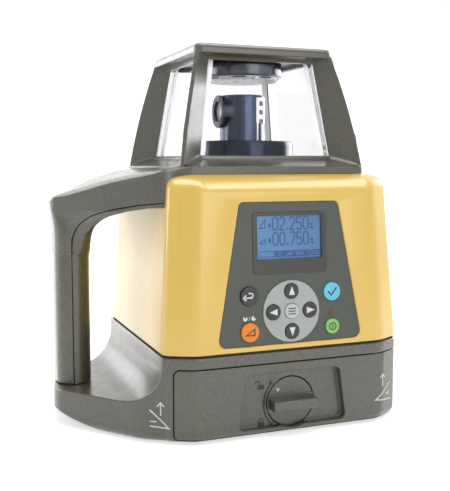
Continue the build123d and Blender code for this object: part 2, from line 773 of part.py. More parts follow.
# Keypad panel
panel_back = -PANEL_SINK - PANEL_T
flange_front = -WALL - FLANGE_GAP
panel = on_panel(panel_shape(-FIT), 0, PANEL_Z, panel_back, -PANEL_SINK)
panel = panel + on_panel(panel_shape(PANEL_FLANGE), 0, PANEL_Z, panel_back, flange_front)
bezel_shape = RectangleRounded(BEZEL_W, BEZEL_H, BEZEL_R)
bezel_hole = RectangleRounded(BEZEL_W + FIT, BEZEL_H + FIT, BEZEL_R)
bezel_seat = -PANEL_SINK - BEZEL_SEAT
panel = panel - on_panel(bezel_hole, 0, BEZEL_Z, bezel_seat, CUT)
panel = panel - on_panel(Rectangle(LCD_W + FIT, LCD_H + FIT), 0, LCD_Z, panel_back - CUT, CUT)
ring_seat = -PANEL_SINK - RING_SEAT
panel = panel - on_panel(Circle(RING_R + FIT / 2), 0, RING_Z, ring_seat, CUT)
keys = (
    ("key_back", -SIDE_KEY_X, KEY_HIGH_Z, BACK_R),
    ("key_enter", SIDE_KEY_X, KEY_HIGH_Z, ENTER_R),
    ("key_axis", -SIDE_KEY_X, KEY_LOW_Z, AXIS_R),
    ("key_power", SIDE_KEY_X, KEY_LOW_Z, POWER_R),
    ("key_menu", 0, RING_Z, MENU_R),
    ("key_up", 0, RING_Z + ARROW_D, ARROW_R),
    ("key_down", 0, RING_Z - ARROW_D, ARROW_R),
    ("key_left", -ARROW_D, RING_Z, ARROW_R),
    ("key_right", ARROW_D, RING_Z, ARROW_R),
)
flange_back = panel_back - KEY_FLANGE_GAP - KEY_FLANGE_T
ring = on_panel(Circle(RING_R), 0, RING_Z, ring_seat, -PANEL_SINK + RING_PROUD)
for node, kx, kz, kr in keys:
    hole = on_panel(Circle(kr + KEY_GAP), kx, kz, panel_back - CUT, CUT)
    panel = panel - hole
    if math.hypot(kx, kz - RING_Z) < RING_R:
        ring = ring - hole
    cap = on_panel(Circle(kr), kx, kz, flange_back, KEY_PROUD)
    cap = fillet(cap.edges().filter_by(GeomType.CIRCLE).sort_by(Axis.Y)[:1], KEY_EDGE_R)
    cap = cap + on_panel(Circle(kr + KEY_FLANGE), kx, kz, flange_back, flange_back + KEY_FLANGE_T)
    save(cap, node)
panel = panel - on_panel(Circle(LED_R + LED_FIT), SIDE_KEY_X, LED_Z, panel_back - CUT, CUT)
save(panel, "panel_plate")
save(ring, "arrow_ring")
led = on_panel(Circle(LED_R), SIDE_KEY_X, LED_Z, panel_back, -PANEL_SINK + LED_PROUD)
save(led, "status_lamp")

bezel = on_panel(bezel_shape, 0, BEZEL_Z, bezel_seat, -PANEL_SINK + BEZEL_PROUD)
bezel = bezel - on_panel(Rectangle(LCD_W + FIT, LCD_H + FIT), 0, LCD_Z, bezel_seat - CUT, CUT)
save(bezel, "display_frame")
save(on_panel(Rectangle(LCD_W, LCD_H), 0, LCD_Z, bezel_seat + WINDOW_LIFT, -PANEL_SINK), "display_window")
module_front = panel_back - WINDOW_LIFT / 2
lit_face = bezel_seat - WINDOW_LIFT / 2
lit_shape = Rectangle(LCD_W - 2 * WINDOW_LIFT, LCD_H - 2 * WINDOW_LIFT)
display = on_panel(lit_shape, 0, LCD_Z, panel_back - CUT, lit_face)
display = display + on_panel(
    Rectangle(LCD_W + MODULE_W, LCD_H + MODULE_H), 0, LCD_Z, panel_back - MODULE_T, module_front
)
save(display, "display_module")

# Key membrane and key board behind the panel
membrane_front = flange_back - KEY_TRAVEL - MEMBRANE_GAP
board_front = membrane_front - MEMBRANE_T
board_back = board_front - BOARD_T
membrane = on_panel(Rectangle(MEMBRANE_W, MEMBRANE_H), 0, RING_Z, board_front, membrane_front)
key_board = on_panel(Rectangle(BOARD_W, BOARD_H), 0, RING_Z, board_back, board_front)
for chip_w, chip_h, chip_x, chip_t in ((14, 10, 22, 2.4), (20, 5, -20, 3.4)):
    chip = on_panel(Rectangle(chip_w, chip_h), chip_x, RING_Z, board_back - chip_t, board_back)
    key_board = key_board + chip
panel_screws = []
head_front = board_back - SCREW_SLACK
for kx in (-PANEL_SCREW_X, PANEL_SCREW_X):
    for kz in (RING_Z - PANEL_SCREW_UP, RING_Z + PANEL_SCREW_UP):
        spacer_hole = Circle(SPACER_R + 2 * FIT)
        screw_hole = Circle(PANEL_SCREW_R + 2 * SCREW_SLACK)
        membrane = membrane - on_panel(spacer_hole, kx, kz, board_front - CUT, membrane_front + CUT)
        key_board = key_board - on_panel(screw_hole, kx, kz, board_back - CUT, board_front + CUT)
        stem = on_panel(Circle(PANEL_SCREW_R), kx, kz, head_front - SCREW_SLACK, panel_back)
        spacer = on_panel(Circle(SPACER_R), kx, kz, board_front, panel_back)
        head = on_panel(Circle(PANEL_SCREW_HEAD_R), kx, kz, head_front - PANEL_SCREW_HEAD_T, head_front)
        panel_screws.append(stem + spacer + head)
save(membrane, "key_membrane")
save(key_board, "key_board")
save(Compound(panel_screws), "panel_screws")

# Upper housing: shoulder, sill, arm and the outer half of the grip
shoulder_z0 = SHOULDER_Z + SHOULDER_GAP
upper = slab_z(square(SHOULDER_HALF, SHOULDER_R), shoulder_z0, SILL_Z0)
sill_edge = Pos(0, 0, SILL_Z0) * square(SHOULDER_HALF - SILL_SET, SHOULDER_R)
upper = upper + loft([sill_edge, Pos(0, 0, SILL_Z1) * square(SILL_HALF, SILL_R)], ruled=True)
under_foot = Pos(0, 0, shoulder_z0 - CUT) * square(SHOULDER_HALF - SHOULDER_WALL, SILL_R)
under_top = Pos(0, 0, SILL_Z1 - SILL_T) * square(SILL_HALF - WALL, SILL_R)
upper = upper - loft([under_foot, under_top], ruled=True) - slab_z(square(SILL_OPEN, SILL_R), 0, FAR)

grip_plan = Pos((GRIP_X0 + GRIP_X1) / 2, (GRIP_Y0 + GRIP_Y1) / 2) * RectangleRounded(
    GRIP_X1 - GRIP_X0, GRIP_Y1 - GRIP_Y0, GRIP_R
)
arm_plan = Polygon(
    (ARM_IN_X, ARM_IN_Y),
    (ARM_MID_X, ARM_MID_Y),
    (ARM_ROOT_X, -ARM_HALF_Y),
    (HANDLE_TIP_X, LANTERN_Y - HANDLE_TIP_HALF),
    (HANDLE_TIP_X, LANTERN_Y + HANDLE_TIP_HALF),
    (ARM_ROOT_X, ARM_HALF_Y),
    (ARM_IN_X, ARM_HALF_Y),
    align=None,
)
for bend_x, bend_r in ((HANDLE_TIP_X, GRIP_R), (ARM_ROOT_X, ARM_ROOT_R)):
    arm_plan = fillet(arm_plan.vertices().filter_by_position(Axis.X, bend_x - CUT, bend_x + CUT), bend_r)
crest = [(-50, 173.2), (-69, 170.6), (-86, 166.7), (-101, 162.9), (-113.4, 158.5), (-126.4, 153.6)]
handle_side = Polygon(
    *crest,
    (HANDLE_TIP_X, HANDLE_TIP_Z),
    (GRIP_X0, HANDLE_NECK_Z),
    (GRIP_X0, GRIP_Z0),
    (GRIP_X1, GRIP_Z0),
    (GRIP_X1, 136),
    (-97, 142.0),
    (-86, 144.6),
    (-50, 146.4),
    align=None,
)
for corner_x, corner_r in ((HANDLE_TIP_X, HANDLE_OUT_R), (GRIP_X0, HANDLE_NECK_R), (GRIP_X1, HANDLE_IN_R)):
    corner = handle_side.vertices().filter_by_position(Axis.X, corner_x - CUT, corner_x + CUT)
    handle_side = fillet(corner.sort_by(Axis.Y)[-1:], corner_r)


def seam_side(shift):
    path = [(GRIP_SEAM_X, -10), (GRIP_SEAM_X, 135.5), (-104, 143.4), (-91, 146.6), (-79, 148.2), (-40, 149)]
    line = [(x + shift, z - shift) for x, z in path]
    face = Polygon(*line, (-40, 220), (-200, 220), (-200, -10), align=None)
    return fillet(face.vertices().filter_by_position(Axis.Y, 134, 137), HANDLE_SEAM_R)


def neck_section(z, x0, x1, half, front, rear, corner_r):
    face = Polygon(
        (x0, LANTERN_Y - half),
        (x1, LANTERN_Y - front),
        (x1, LANTERN_Y + rear),
        (x0, LANTERN_Y + half),
        align=None,
    )
    for x, r in ((x0, GRIP_R), (x1, corner_r)):
        face = fillet(face.vertices().filter_by_position(Axis.X, x - CUT, x + CUT), r)
    return Pos(0, 0, z) * face


def handle_half(side):
    sections = [neck_section(*spot) for spot in NECK_SECTIONS]
    whole = slab_z(grip_plan, GRIP_Z0, NECK_SECTIONS[0][0]) + slab_z(arm_plan, NECK_SECTIONS[-1][0], 200)
    whole = whole + loft(sections[:2], ruled=True) + loft(sections[1:])
    whole = whole + (slab_z(arm_plan, ARM_Z0, 200) & box(NECK_X, 0, -100, 100, ARM_Z0, 200))
    return slab_y(side, -100, 100) & whole


ribs = []
for x, y0, y1, z in (
    (-40, -57, 66, 174.9),
    (-79, -66, 66, 168.7),
    (-103.5, -37, 47, 162.4),
    (-128, GRIP_Y0, GRIP_Y1, 153.4),
    (-142, GRIP_Y0, GRIP_Y1, 147.9),
):
    low = z - CROWN_H * (1 + 2 / CROWN_W)
    rib = Polygon(
        (y0 - 2, 0),
        (y1 + 2, 0),
        (y1 + 2, low - CROWN_TILT),
        (y1 - CROWN_W, z - CROWN_TILT),
        (y0 + CROWN_W, z),
        (y0 - 2, low),
        align=None,
    )
    ribs.append(Plane((x, 0, 0), x_dir=(0, 1, 0), z_dir=(1, 0, 0)) * rib)
crown = loft(ribs[::-1], ruled=True)
body_room = body_solid(SEAM_Z, 0.2, 0)
outer_half = (handle_half(handle_side & seam_side(0)) & crown) - body_room
inner_half = handle_half(handle_side - seam_side(HANDLE_SEAM)) - body_room
grip_core = box(
    GRIP_X0 + GRIP_CORE_X, GRIP_X1 - GRIP_CORE_X, GRIP_Y0 + GRIP_CORE_Y, GRIP_Y1 - GRIP_CORE_Y, *GRIP_CORE_Z
)
arm_side = Polygon((-110, 130), (-82, 130), (-82, 161.5), (-110, 153.5), align=None)
arm_core = slab_y(arm_side, -100, 100) & slab_z(offset(arm_plan, -ARM_WALL), 100, 200)
outer_half = outer_half - grip_core - arm_core
inner_half = inner_half - grip_core
room = slab_z(square(SHOULDER_HALF - SHOULDER_WALL, SILL_R), 0, shoulder_z0)
upper = upper + (outer_half - room - slab_z(square(SHOULDER_HALF - SILL_SET / 2, SHOULDER_R), SILL_Z0, FAR))
save(upper, "upper_housing")
save(inner_half, "grip_inner")


# Lantern cage: cap and four fins on the corners of the glass
def pane_half(z):
    return PANE_HALF0 + (PANE_HALF1 - PANE_HALF0) * (z - PANE_Z0) / (PANE_Z1 - PANE_Z0)


cage = slab_z(square(CAP_HALF, CAP_R), CAP_Z0, CAP_Z1)
cage = fillet(cage.faces().sort_by(Axis.Z)[-1].edges(), CAP_EDGE_R)
fin_in_top = (pane_half(CAP_Z0) * math.sqrt(2) + FIN_GAP, CAP_Z0 + CUT)
fin_in_foot = (pane_half(SILL_Z1) * math.sqrt(2) + FIN_GAP, SILL_Z1 + FIN_SILL_GAP)
fin_top = (FIN_TOP_R, CAP_Z0 + CAP_LAP)
fin_foot = (FIN_FOOT_R, FIN_FOOT_Z)
fin_mid = ((FIN_TOP_R + FIN_FOOT_R) / 2 + FIN_BULGE, (fin_top[1] + FIN_FOOT_Z) / 2 + FIN_BULGE * 0.3)
fin_face = make_face(
    Polyline(fin_foot, fin_in_foot, fin_in_top, fin_top) + ThreePointArc(fin_top, fin_mid, fin_foot)
)
for k in range(4):
    turn = math.radians(45 + 90 * k)
    outward = (math.cos(turn), math.sin(turn), 0)
    blade = Plane((0, LANTERN_Y, 0), x_dir=outward, z_dir=(outward[1], -outward[0], 0))
    cage = cage + extrude(blade * fin_face, FIN_T / 2, both=True)
save(cage, "lantern_cage")

# Four glass panes with mitred edges
panes = []
for k in range(4):
    ends = []
    for z, half in ((PANE_Z0, PANE_HALF0), (PANE_Z1, PANE_HALF1)):
        wide = half - PANE_GAP
        strip = Polygon(
            (-wide, -half),
            (wide, -half),
            (wide - PANE_T, PANE_T - half),
            (PANE_T - wide, PANE_T - half),
            align=None,
        )
        ends.append(Pos(0, LANTERN_Y, z) * Rot(0, 0, 90 * k) * strip)
    panes.append(loft(ends, ruled=True))
save(Compound(panes), "lantern_panes")

# Lantern floor with the round shroud
floor_z0 = SILL_Z1 - FLOOR_DROP - FLOOR_T
floor = slab_z(square(SILL_OPEN - FIT, SILL_R), floor_z0, SILL_Z1 - FLOOR_DROP)
flange_z = SILL_Z1 - SILL_T
floor = floor + slab_z(square(SILL_OPEN + FLOOR_FLANGE, SILL_R), flange_z - FLOOR_FLANGE_T, flange_z)
shroud = cyl(0, 0, floor_z0, SHROUD_Z, SHROUD_R)
shroud = fillet(shroud.edges().filter_by(GeomType.CIRCLE).sort_by(Axis.Z)[-1:], SHROUD_EDGE_R)
floor = floor + shroud - cyl(0, 0, 0, FAR, SHROUD_BORE)
save(floor, "lantern_floor")

# Receiver drum under the cap, its cover and screws
drum = cyl(0, 0, DRUM_Z, CAP_Z0, DRUM_R)
drum = fillet(drum.edges().filter_by(GeomType.CIRCLE).sort_by(Axis.Z)[:1], DRUM_EDGE_R)
drum = drum - cyl(0, 0, DRUM_Z, CAP_Z0 - DRUM_ROOF, DRUM_R - DRUM_WALL)
save(drum, "receiver_drum")
drum_cover = cyl(0, 0, DRUM_COVER_Z, DRUM_Z, DRUM_COVER_R)
drum_cover = chamfer(drum_cover.edges().filter_by(GeomType.CIRCLE).sort_by(Axis.Z)[:1], DRUM_COVER_EDGE)
drum_screws = []
for k in range(3):
    turn = math.radians(30 + 120 * k)
    px = DRUM_SCREW_PCR * math.cos(turn)
    py = DRUM_SCREW_PCR * math.sin(turn)
    head_z = DRUM_COVER_Z + DRUM_SCREW_SINK
    seat_z = head_z + DRUM_SCREW_HEAD_T
    drum_cover = drum_cover - cyl(px, py, DRUM_COVER_Z, DRUM_Z, DRUM_SCREW_R + FIT / 2)
    drum_cover = drum_cover - cyl(px, py, DRUM_COVER_Z, seat_z, DRUM_SCREW_HEAD_R + FIT)
    drum_screw = cyl(px, py, head_z, seat_z, DRUM_SCREW_HEAD_R)
    drum_screws.append(drum_screw + cyl(px, py, seat_z, DRUM_Z, DRUM_SCREW_R))
save(drum_cover, "receiver_cover")
save(Compound(drum_screws), "receiver_screws")

# Chassis with the gimbal uprights and the front lift pedestal
chassis = box(-PLATE_X, PLATE_X, PLATE_Y0, PLATE_Y1, PLATE_Z0, PLATE_Z1) - cyl(0, 0, 0, FAR, PLATE_BORE)
plate_in = PLATE_Z1 - CUT
for sx in (-SCREW_X, SCREW_X):
    for sy in (SCREW_YF, SCREW_YR):
        chassis = chassis + cyl(sx, sy, BAY_ROOF, SCREW_TOP_Z, SCREW_R + SCREW_BOSS)
        chassis = chassis - cyl(sx, sy, 0, PLATE_Z1 + CUT, SCREW_R + RUN_FIT)
for side in (-1, 1):
    x_in = side * UPRIGHT_X0
    x_out = side * UPRIGHT_X1
    x_low = min(x_in, x_out)
    x_high = max(x_in, x_out)
    upright = box(x_low, x_high, -UPRIGHT_HALF_Y, UPRIGHT_HALF_Y, plate_in, PIVOT_Z + UPRIGHT_OVER)
    upright = upright - box(x_low - CUT, x_high + CUT, -UPRIGHT_SLOT, UPRIGHT_SLOT, *UPRIGHT_SLOT_Z)
    pin_end = side * (RING_OUT_R - PIN_IN)
    chassis = chassis + upright + cyl_x(min(pin_end, x_in), max(pin_end, x_in), 0, PIVOT_Z, PIN_R)
lift_y0 = LIFT_X_Y - LIFT_X_HALF
lift_y1 = LIFT_X_Y + LIFT_X_HALF
slot_half = LIFT_X_HALF - LIFT_X_WALL
chassis = chassis + box(-LIFT_X_HALF, LIFT_X_HALF, lift_y0, lift_y1, plate_in, LIFT_X_TOP)
chassis = chassis - box(-slot_half, slot_half, lift_y0 - CUT, lift_y1 + CUT, *LIFT_X_SLOT)
for side in (-1, 1):
    post_x0 = side * BOARD_POST_X - BOARD_POST_HALF
    post_x1 = side * BOARD_POST_X + BOARD_POST_HALF
    chassis = chassis + box(post_x0, post_x1, PLATE_Y1 - BOARD_POST_HALF, PLATE_Y1, plate_in, BOARD_POST_Z)
save(chassis, "chassis")

# Main board at the rear
board = box(-MAIN_BOARD_HALF, MAIN_BOARD_HALF, PLATE_Y1, PLATE_Y1 + BOARD_T, *MAIN_BOARD_Z)
chips = ((-20, 110, 18, 18, 2), (14, 114, 14, 10, 1.6), (30, 84, 12, 20, 6), (-32, 80, 10, 10, 4))
for bx, bz, bw, bh, bt in chips:
    chip_y1 = PLATE_Y1 + BOARD_T / 2
    board = board + box(bx - bw / 2, bx + bw / 2, PLATE_Y1 - bt, chip_y1, bz - bh / 2, bz + bh / 2)
save(board, "main_board")

# Gimbal ring: turns about X on the chassis pins, carries the Y pins and the second lift
gimbal = cyl(0, 0, PIVOT_Z - RING_HALF_H, PIVOT_Z + RING_HALF_H, RING_OUT_R)
fork_z0 = PIVOT_Z - FORK_T / 2
fork_z1 = PIVOT_Z + FORK_T / 2
fork_y = box(-FORK_HALF, FORK_HALF, LIFT_X_Y - FORK_REACH, -(RING_OUT_R + RING_IN_R) / 2, fork_z0, fork_z1)
lug = cyl(LIFT_Y_X, LIFT_Y_Y, PIVOT_Z - RING_HALF_H, PIVOT_Z - LUG_DROP, LUG_R)
gimbal = gimbal + fork_y + lug - cyl(0, 0, 0, FAR, RING_IN_R)
mouth = NUT_WAIST_R + FORK_PLAY
gimbal = gimbal - box(-mouth, mouth, LIFT_X_Y - FORK_REACH - CUT, LIFT_X_Y, fork_z0 - CUT, fork_z1 + CUT)
gimbal = gimbal - cyl(0, LIFT_X_Y, fork_z0 - CUT, fork_z1 + CUT, mouth)
gimbal = gimbal - cyl_x(-FAR, FAR, 0, PIVOT_Z, PIN_R + RUN_FIT)
gimbal = gimbal - cyl(LIFT_Y_X, LIFT_Y_Y, 0, FAR, LEAD_R + LUG_PLAY)
gimbal = gimbal - cyl(LIFT_Y_X, LIFT_Y_Y, PIVOT_Z - LUG_DROP, FAR, NUT_FLANGE_R + FORK_PLAY)
for side in (-1, 1):
    pin_y0 = side * (RING_IN_R - RING_PIN_L)
    pin_y1 = side * (RING_IN_R + RING_OUT_R) / 2
    gimbal = gimbal + cyl_y(0, min(pin_y0, pin_y1), max(pin_y0, pin_y1), PIVOT_Z, PIN_R)
save(gimbal, "gimbal_ring")

# Spindle housing: turns about Y on the ring pins, carries motor, laser and vials
housing = cyl(0, 0, HOUSING_Z0, HOUSING_Z1, HOUSING_R)
trunnion_end = RING_IN_R - TRUNNION_GAP
flange_z0 = HOUSING_Z0 - HOUSING_FLANGE_T
housing = housing + cyl_y(0, -trunnion_end, trunnion_end, PIVOT_Z, TRUNNION_R)
housing = housing + cyl(0, 0, flange_z0, HOUSING_Z0 + CUT, HOUSING_FLANGE_R)
housing = housing + box(-MOTOR_PAD, MOTOR_PAD, 0, MOTOR_Y + MOTOR_R, flange_z0, HOUSING_Z0)
for side in (-1, 1):
    leg_x0 = side * CRADLE_X - CRADLE_T / 2
    leg_x1 = side * CRADLE_X + CRADLE_T / 2
    housing = housing + box(leg_x0, leg_x1, -CRADLE_HALF_Y, CRADLE_HALF_Y, CRADLE_Z0, HOUSING_Z0)
housing = housing + box(-CRADLE_HALF_X, CRADLE_HALF_X, -CRADLE_Y, CRADLE_Y, CRADLE_Z0, CRADLE_Z1)
lift_turn = math.degrees(math.atan2(LIFT_Y_Y, LIFT_Y_X))
lift_reach = math.hypot(LIFT_Y_X, LIFT_Y_Y)
lift_z = PIVOT_Z + ROCKER_LIFT
rocker_end = lift_reach + FORK_REACH
rocker_mouth = NUT_WAIST_R + ROCKER_PLAY
rocker = box(ROCKER_IN, rocker_end, -ROCKER_HALF, ROCKER_HALF, lift_z - FORK_T / 2, lift_z + FORK_T / 2)
rocker = rocker - cyl(lift_reach, 0, 0, FAR, rocker_mouth)
rocker = rocker - box(lift_reach, rocker_end + CUT, -rocker_mouth, rocker_mouth, 0, FAR)
housing = housing + Rot(0, 0, lift_turn) * rocker
housing = housing - cyl(0, 0, 0, FAR, BEARING_R - BORE_STEP)
housing = housing - cyl(0, 0, HOUSING_Z1 - BEARING_H, HOUSING_Z1 + CUT, BEARING_R)
housing = housing - cyl(0, 0, flange_z0 - CUT, flange_z0 + BEARING_H, BEARING_R)
housing = housing - cyl(0, MOTOR_Y, flange_z0 - CUT, HOUSING_Z0 + CUT, MOTOR_SPIGOT_R + FIT)
pin_room = RING_IN_R - RING_PIN_L - LEAD_GAP
for y0, y1 in ((pin_room, RING_IN_R), (-RING_IN_R, -pin_room)):
    housing = housing - cyl_y(0, y0, y1, PIVOT_Z, PIN_R + RUN_FIT)
save(housing, "spindle_housing")


# Bearings: two races and a row of balls each
def bearing(z0):
    z1 = z0 + BEARING_H
    outer = cyl(0, 0, z0, z1, BEARING_R) - cyl(0, 0, z0 - CUT, z1 + CUT, BEARING_R - BEARING_RACE)
    inner = cyl(0, 0, z0, z1, SPINDLE_R + BEARING_RACE) - cyl(0, 0, z0 - CUT, z1 + CUT, SPINDLE_R + RUN_FIT)
    ball_r = (BEARING_R - SPINDLE_R) / 2 - BEARING_RACE
    track = SPINDLE_R + BEARING_RACE + ball_r
    solids = [outer, inner]
    for i in range(12):
        a = math.radians(30 * i)
        solids.append(Pos(track * math.cos(a), track * math.sin(a), z0 + BEARING_H / 2) * Sphere(ball_r))
    return Compound(solids)


save(bearing(HOUSING_Z1 - BEARING_H), "bearing_upper")
save(bearing(flange_z0), "bearing_lower")

# Spindle with the hub that carries the turret and the prism post
spindle = cyl(0, 0, SPINDLE_Z0, SPINDLE_Z1, SPINDLE_R)
spindle = spindle + cyl(0, 0, HOUSING_Z1 + HUB_LIFT, SPINDLE_Z1, HUB_R)
spindle = spindle + cyl(0, 0, SPINDLE_Z1 - CUT, PRISM_Z, POST_R)
spindle = spindle - cyl(0, 0, 0, FAR, SPINDLE_BORE)
save(spindle, "spindle")
rims = ((PULLEY_Z0, PULLEY_Z0 + PULLEY_RIM_T), (PULLEY_Z1 - PULLEY_RIM_T, PULLEY_Z1))
pulley = cyl(0, 0, PULLEY_Z0, PULLEY_Z1, PULLEY_R)
motor_pulley = cyl(0, MOTOR_Y, PULLEY_Z0, PULLEY_Z1, MOTOR_PULLEY_R)
for z0, z1 in rims:
    pulley = pulley + cyl(0, 0, z0, z1, PULLEY_R + PULLEY_RIM)
    motor_pulley = motor_pulley + cyl(0, MOTOR_Y, z0, z1, MOTOR_PULLEY_R + PULLEY_RIM)
pulley = pulley - cyl(0, 0, 0, FAR, SPINDLE_R + RUN_FIT)
save(pulley, "spindle_pulley")

# Spin motor, its pulley and the belt
motor = cyl(0, MOTOR_Y, HOUSING_Z0, HOUSING_Z0 + MOTOR_H, MOTOR_R)
motor = fillet(motor.edges().filter_by(GeomType.CIRCLE).sort_by(Axis.Z)[-1:], MOTOR_EDGE_R)
motor = motor + cyl(0, MOTOR_Y, flange_z0, HOUSING_Z0, MOTOR_SPIGOT_R)
save(motor, "spin_motor")
motor_pulley = motor_pulley + cyl(0, MOTOR_Y, PULLEY_Z1, flange_z0 - MOTOR_SHAFT_GAP, MOTOR_SHAFT_R)
save(motor_pulley, "motor_pulley")


def belt_shape(grow):
    rs = PULLEY_R + grow
    rm = MOTOR_PULLEY_R + grow
    lean = (rs - rm) / MOTOR_Y
    rise = math.sqrt(1 - lean * lean)
    wedge = Polygon(
        (-rs * rise, rs * lean),
        (rs * rise, rs * lean),
        (rm * rise, MOTOR_Y + rm * lean),
        (-rm * rise, MOTOR_Y + rm * lean),
        align=None,
    )
    return wedge + Circle(rs) + Pos(0, MOTOR_Y) * Circle(rm)


belt_z0 = PULLEY_Z0 + PULLEY_RIM_T + BELT_SIDE
belt_z1 = PULLEY_Z1 - PULLEY_RIM_T - BELT_SIDE
belt = slab_z(belt_shape(BELT_GAP + BELT_T), belt_z0, belt_z1)
belt = belt - slab_z(belt_shape(BELT_GAP), belt_z0 - CUT, belt_z1 + CUT)
save(belt, "drive_belt")

# Laser module under the hollow spindle
laser = cyl(0, 0, LASER_Z0, LASER_Z1, LASER_R)
laser = laser + cyl(0, 0, CRADLE_Z1, CRADLE_Z1 + LASER_FLANGE_T, LASER_FLANGE_R)
laser = laser + cyl(0, 0, CRADLE_Z0, CRADLE_Z1, BEARING_R - BORE_STEP - RUN_FIT)
laser = laser - cyl(0, 0, LASER_Z1 - LASER_MOUTH_D, LASER_Z1, LASER_MOUTH_R)
save(laser, "laser_module")

# Level vials on the lower plate
saddle_z1 = CRADLE_Z1 + VIAL_SADDLE_T
saddle_a = VIAL_A_HALF * 0.7
saddle_y0 = VIAL_A_Y - VIAL_SADDLE_HALF
saddle_y1 = VIAL_A_Y + VIAL_SADDLE_HALF
vial_a = cyl_x(-VIAL_A_HALF, VIAL_A_HALF, VIAL_A_Y, VIAL_Z, VIAL_R)
vial_a = vial_a + box(-saddle_a, saddle_a, saddle_y0, saddle_y1, CRADLE_Z1, saddle_z1)
saddle_x0 = VIAL_B_X - VIAL_SADDLE_HALF
saddle_x1 = VIAL_B_X + VIAL_SADDLE_HALF
vial_b = cyl_y(VIAL_B_X, VIAL_B_Y[0], VIAL_B_Y[1], VIAL_Z, VIAL_R)
vial_b = vial_b + box(saddle_x0, saddle_x1, VIAL_B_Y[0] * 0.8, VIAL_B_Y[1] * 0.5, CRADLE_Z1, saddle_z1)
save(Compound([vial_a, vial_b]), "level_vials")

# Turret, prism and exit optics
turret = cyl(0, 0, SPINDLE_Z1, TURRET_Z, TURRET_R)
turret = fillet(turret.edges().filter_by(GeomType.CIRCLE).sort_by(Axis.Z)[-1:], TURRET_EDGE_R)
turret = turret + cyl_x(BARREL_X, 0, 0, BARREL_Z, BARREL_R)
turret = turret - cyl(0, 0, SPINDLE_Z1 - CUT, TURRET_Z - TURRET_WALL, TURRET_R - TURRET_WALL)
turret = turret - cyl_x(BARREL_X - CUT, 0, 0, BARREL_Z, LENS_R)
save(turret, "turret")
exit_ring = cyl_x(BARREL_X - EXIT_RING_T, BARREL_X, 0, BARREL_Z, BARREL_R)
save(exit_ring - cyl_x(-FAR, 0, 0, BARREL_Z, LENS_R - EXIT_RING_LIP), "exit_ring")
lens_x0 = BARREL_X + LENS_SET
save(cyl_x(lens_x0, lens_x0 + LENS_T, 0, BARREL_Z, LENS_R - RUN_FIT), "exit_lens")
prism_top = TURRET_Z - TURRET_WALL
prism_side = Polygon(
    (-PRISM_HALF, PRISM_Z),
    (PRISM_HALF, PRISM_Z),
    (PRISM_HALF * 1.31, BARREL_Z),
    (PRISM_HALF * 0.29, prism_top - CUT),
    (-PRISM_HALF, prism_top - 3 * CUT),
    align=None,
)
save(slab_y(prism_side, -PRISM_T / 2, PRISM_T / 2), "prism")

# Tilt drives: motor, lead screw and nut for each axis
motor_x_top = LIFT_X_TOP + LIFT_MOTOR_X_H
save(cyl(0, LIFT_X_Y, LIFT_X_TOP, motor_x_top, LIFT_MOTOR_X_R), "tilt_motor_x")
save(cyl(0, LIFT_X_Y, motor_x_top + LEAD_GAP, PIVOT_Z + LEAD_OVER_X, LEAD_R), "lead_screw_x")


def lead_nut(x, y, z):
    waist_half = FORK_T / 2 + FORK_FREE
    nut = cyl(x, y, z - waist_half, z + waist_half, NUT_WAIST_R)
    nut = nut + cyl(x, y, z - waist_half - NUT_FLANGE_T, z - waist_half, NUT_FLANGE_R)
    nut = nut + cyl(x, y, z + waist_half, z + waist_half + NUT_FLANGE_T, NUT_FLANGE_R)
    return nut - cyl(x, y, 0, FAR, LEAD_R + RUN_FIT)


save(lead_nut(0, LIFT_X_Y, PIVOT_Z), "lead_nut_x")
lug_z = PIVOT_Z - RING_HALF_H
save(cyl(LIFT_Y_X, LIFT_Y_Y, lug_z - LIFT_MOTOR_Y_H, lug_z, LIFT_MOTOR_Y_R), "tilt_motor_y")
save(cyl(LIFT_Y_X, LIFT_Y_Y, lug_z + LEAD_GAP, lift_z + LEAD_OVER_Y, LEAD_R), "lead_screw_y")
save(lead_nut(LIFT_Y_X, LIFT_Y_Y, lift_z), "lead_nut_y")
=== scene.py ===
import math

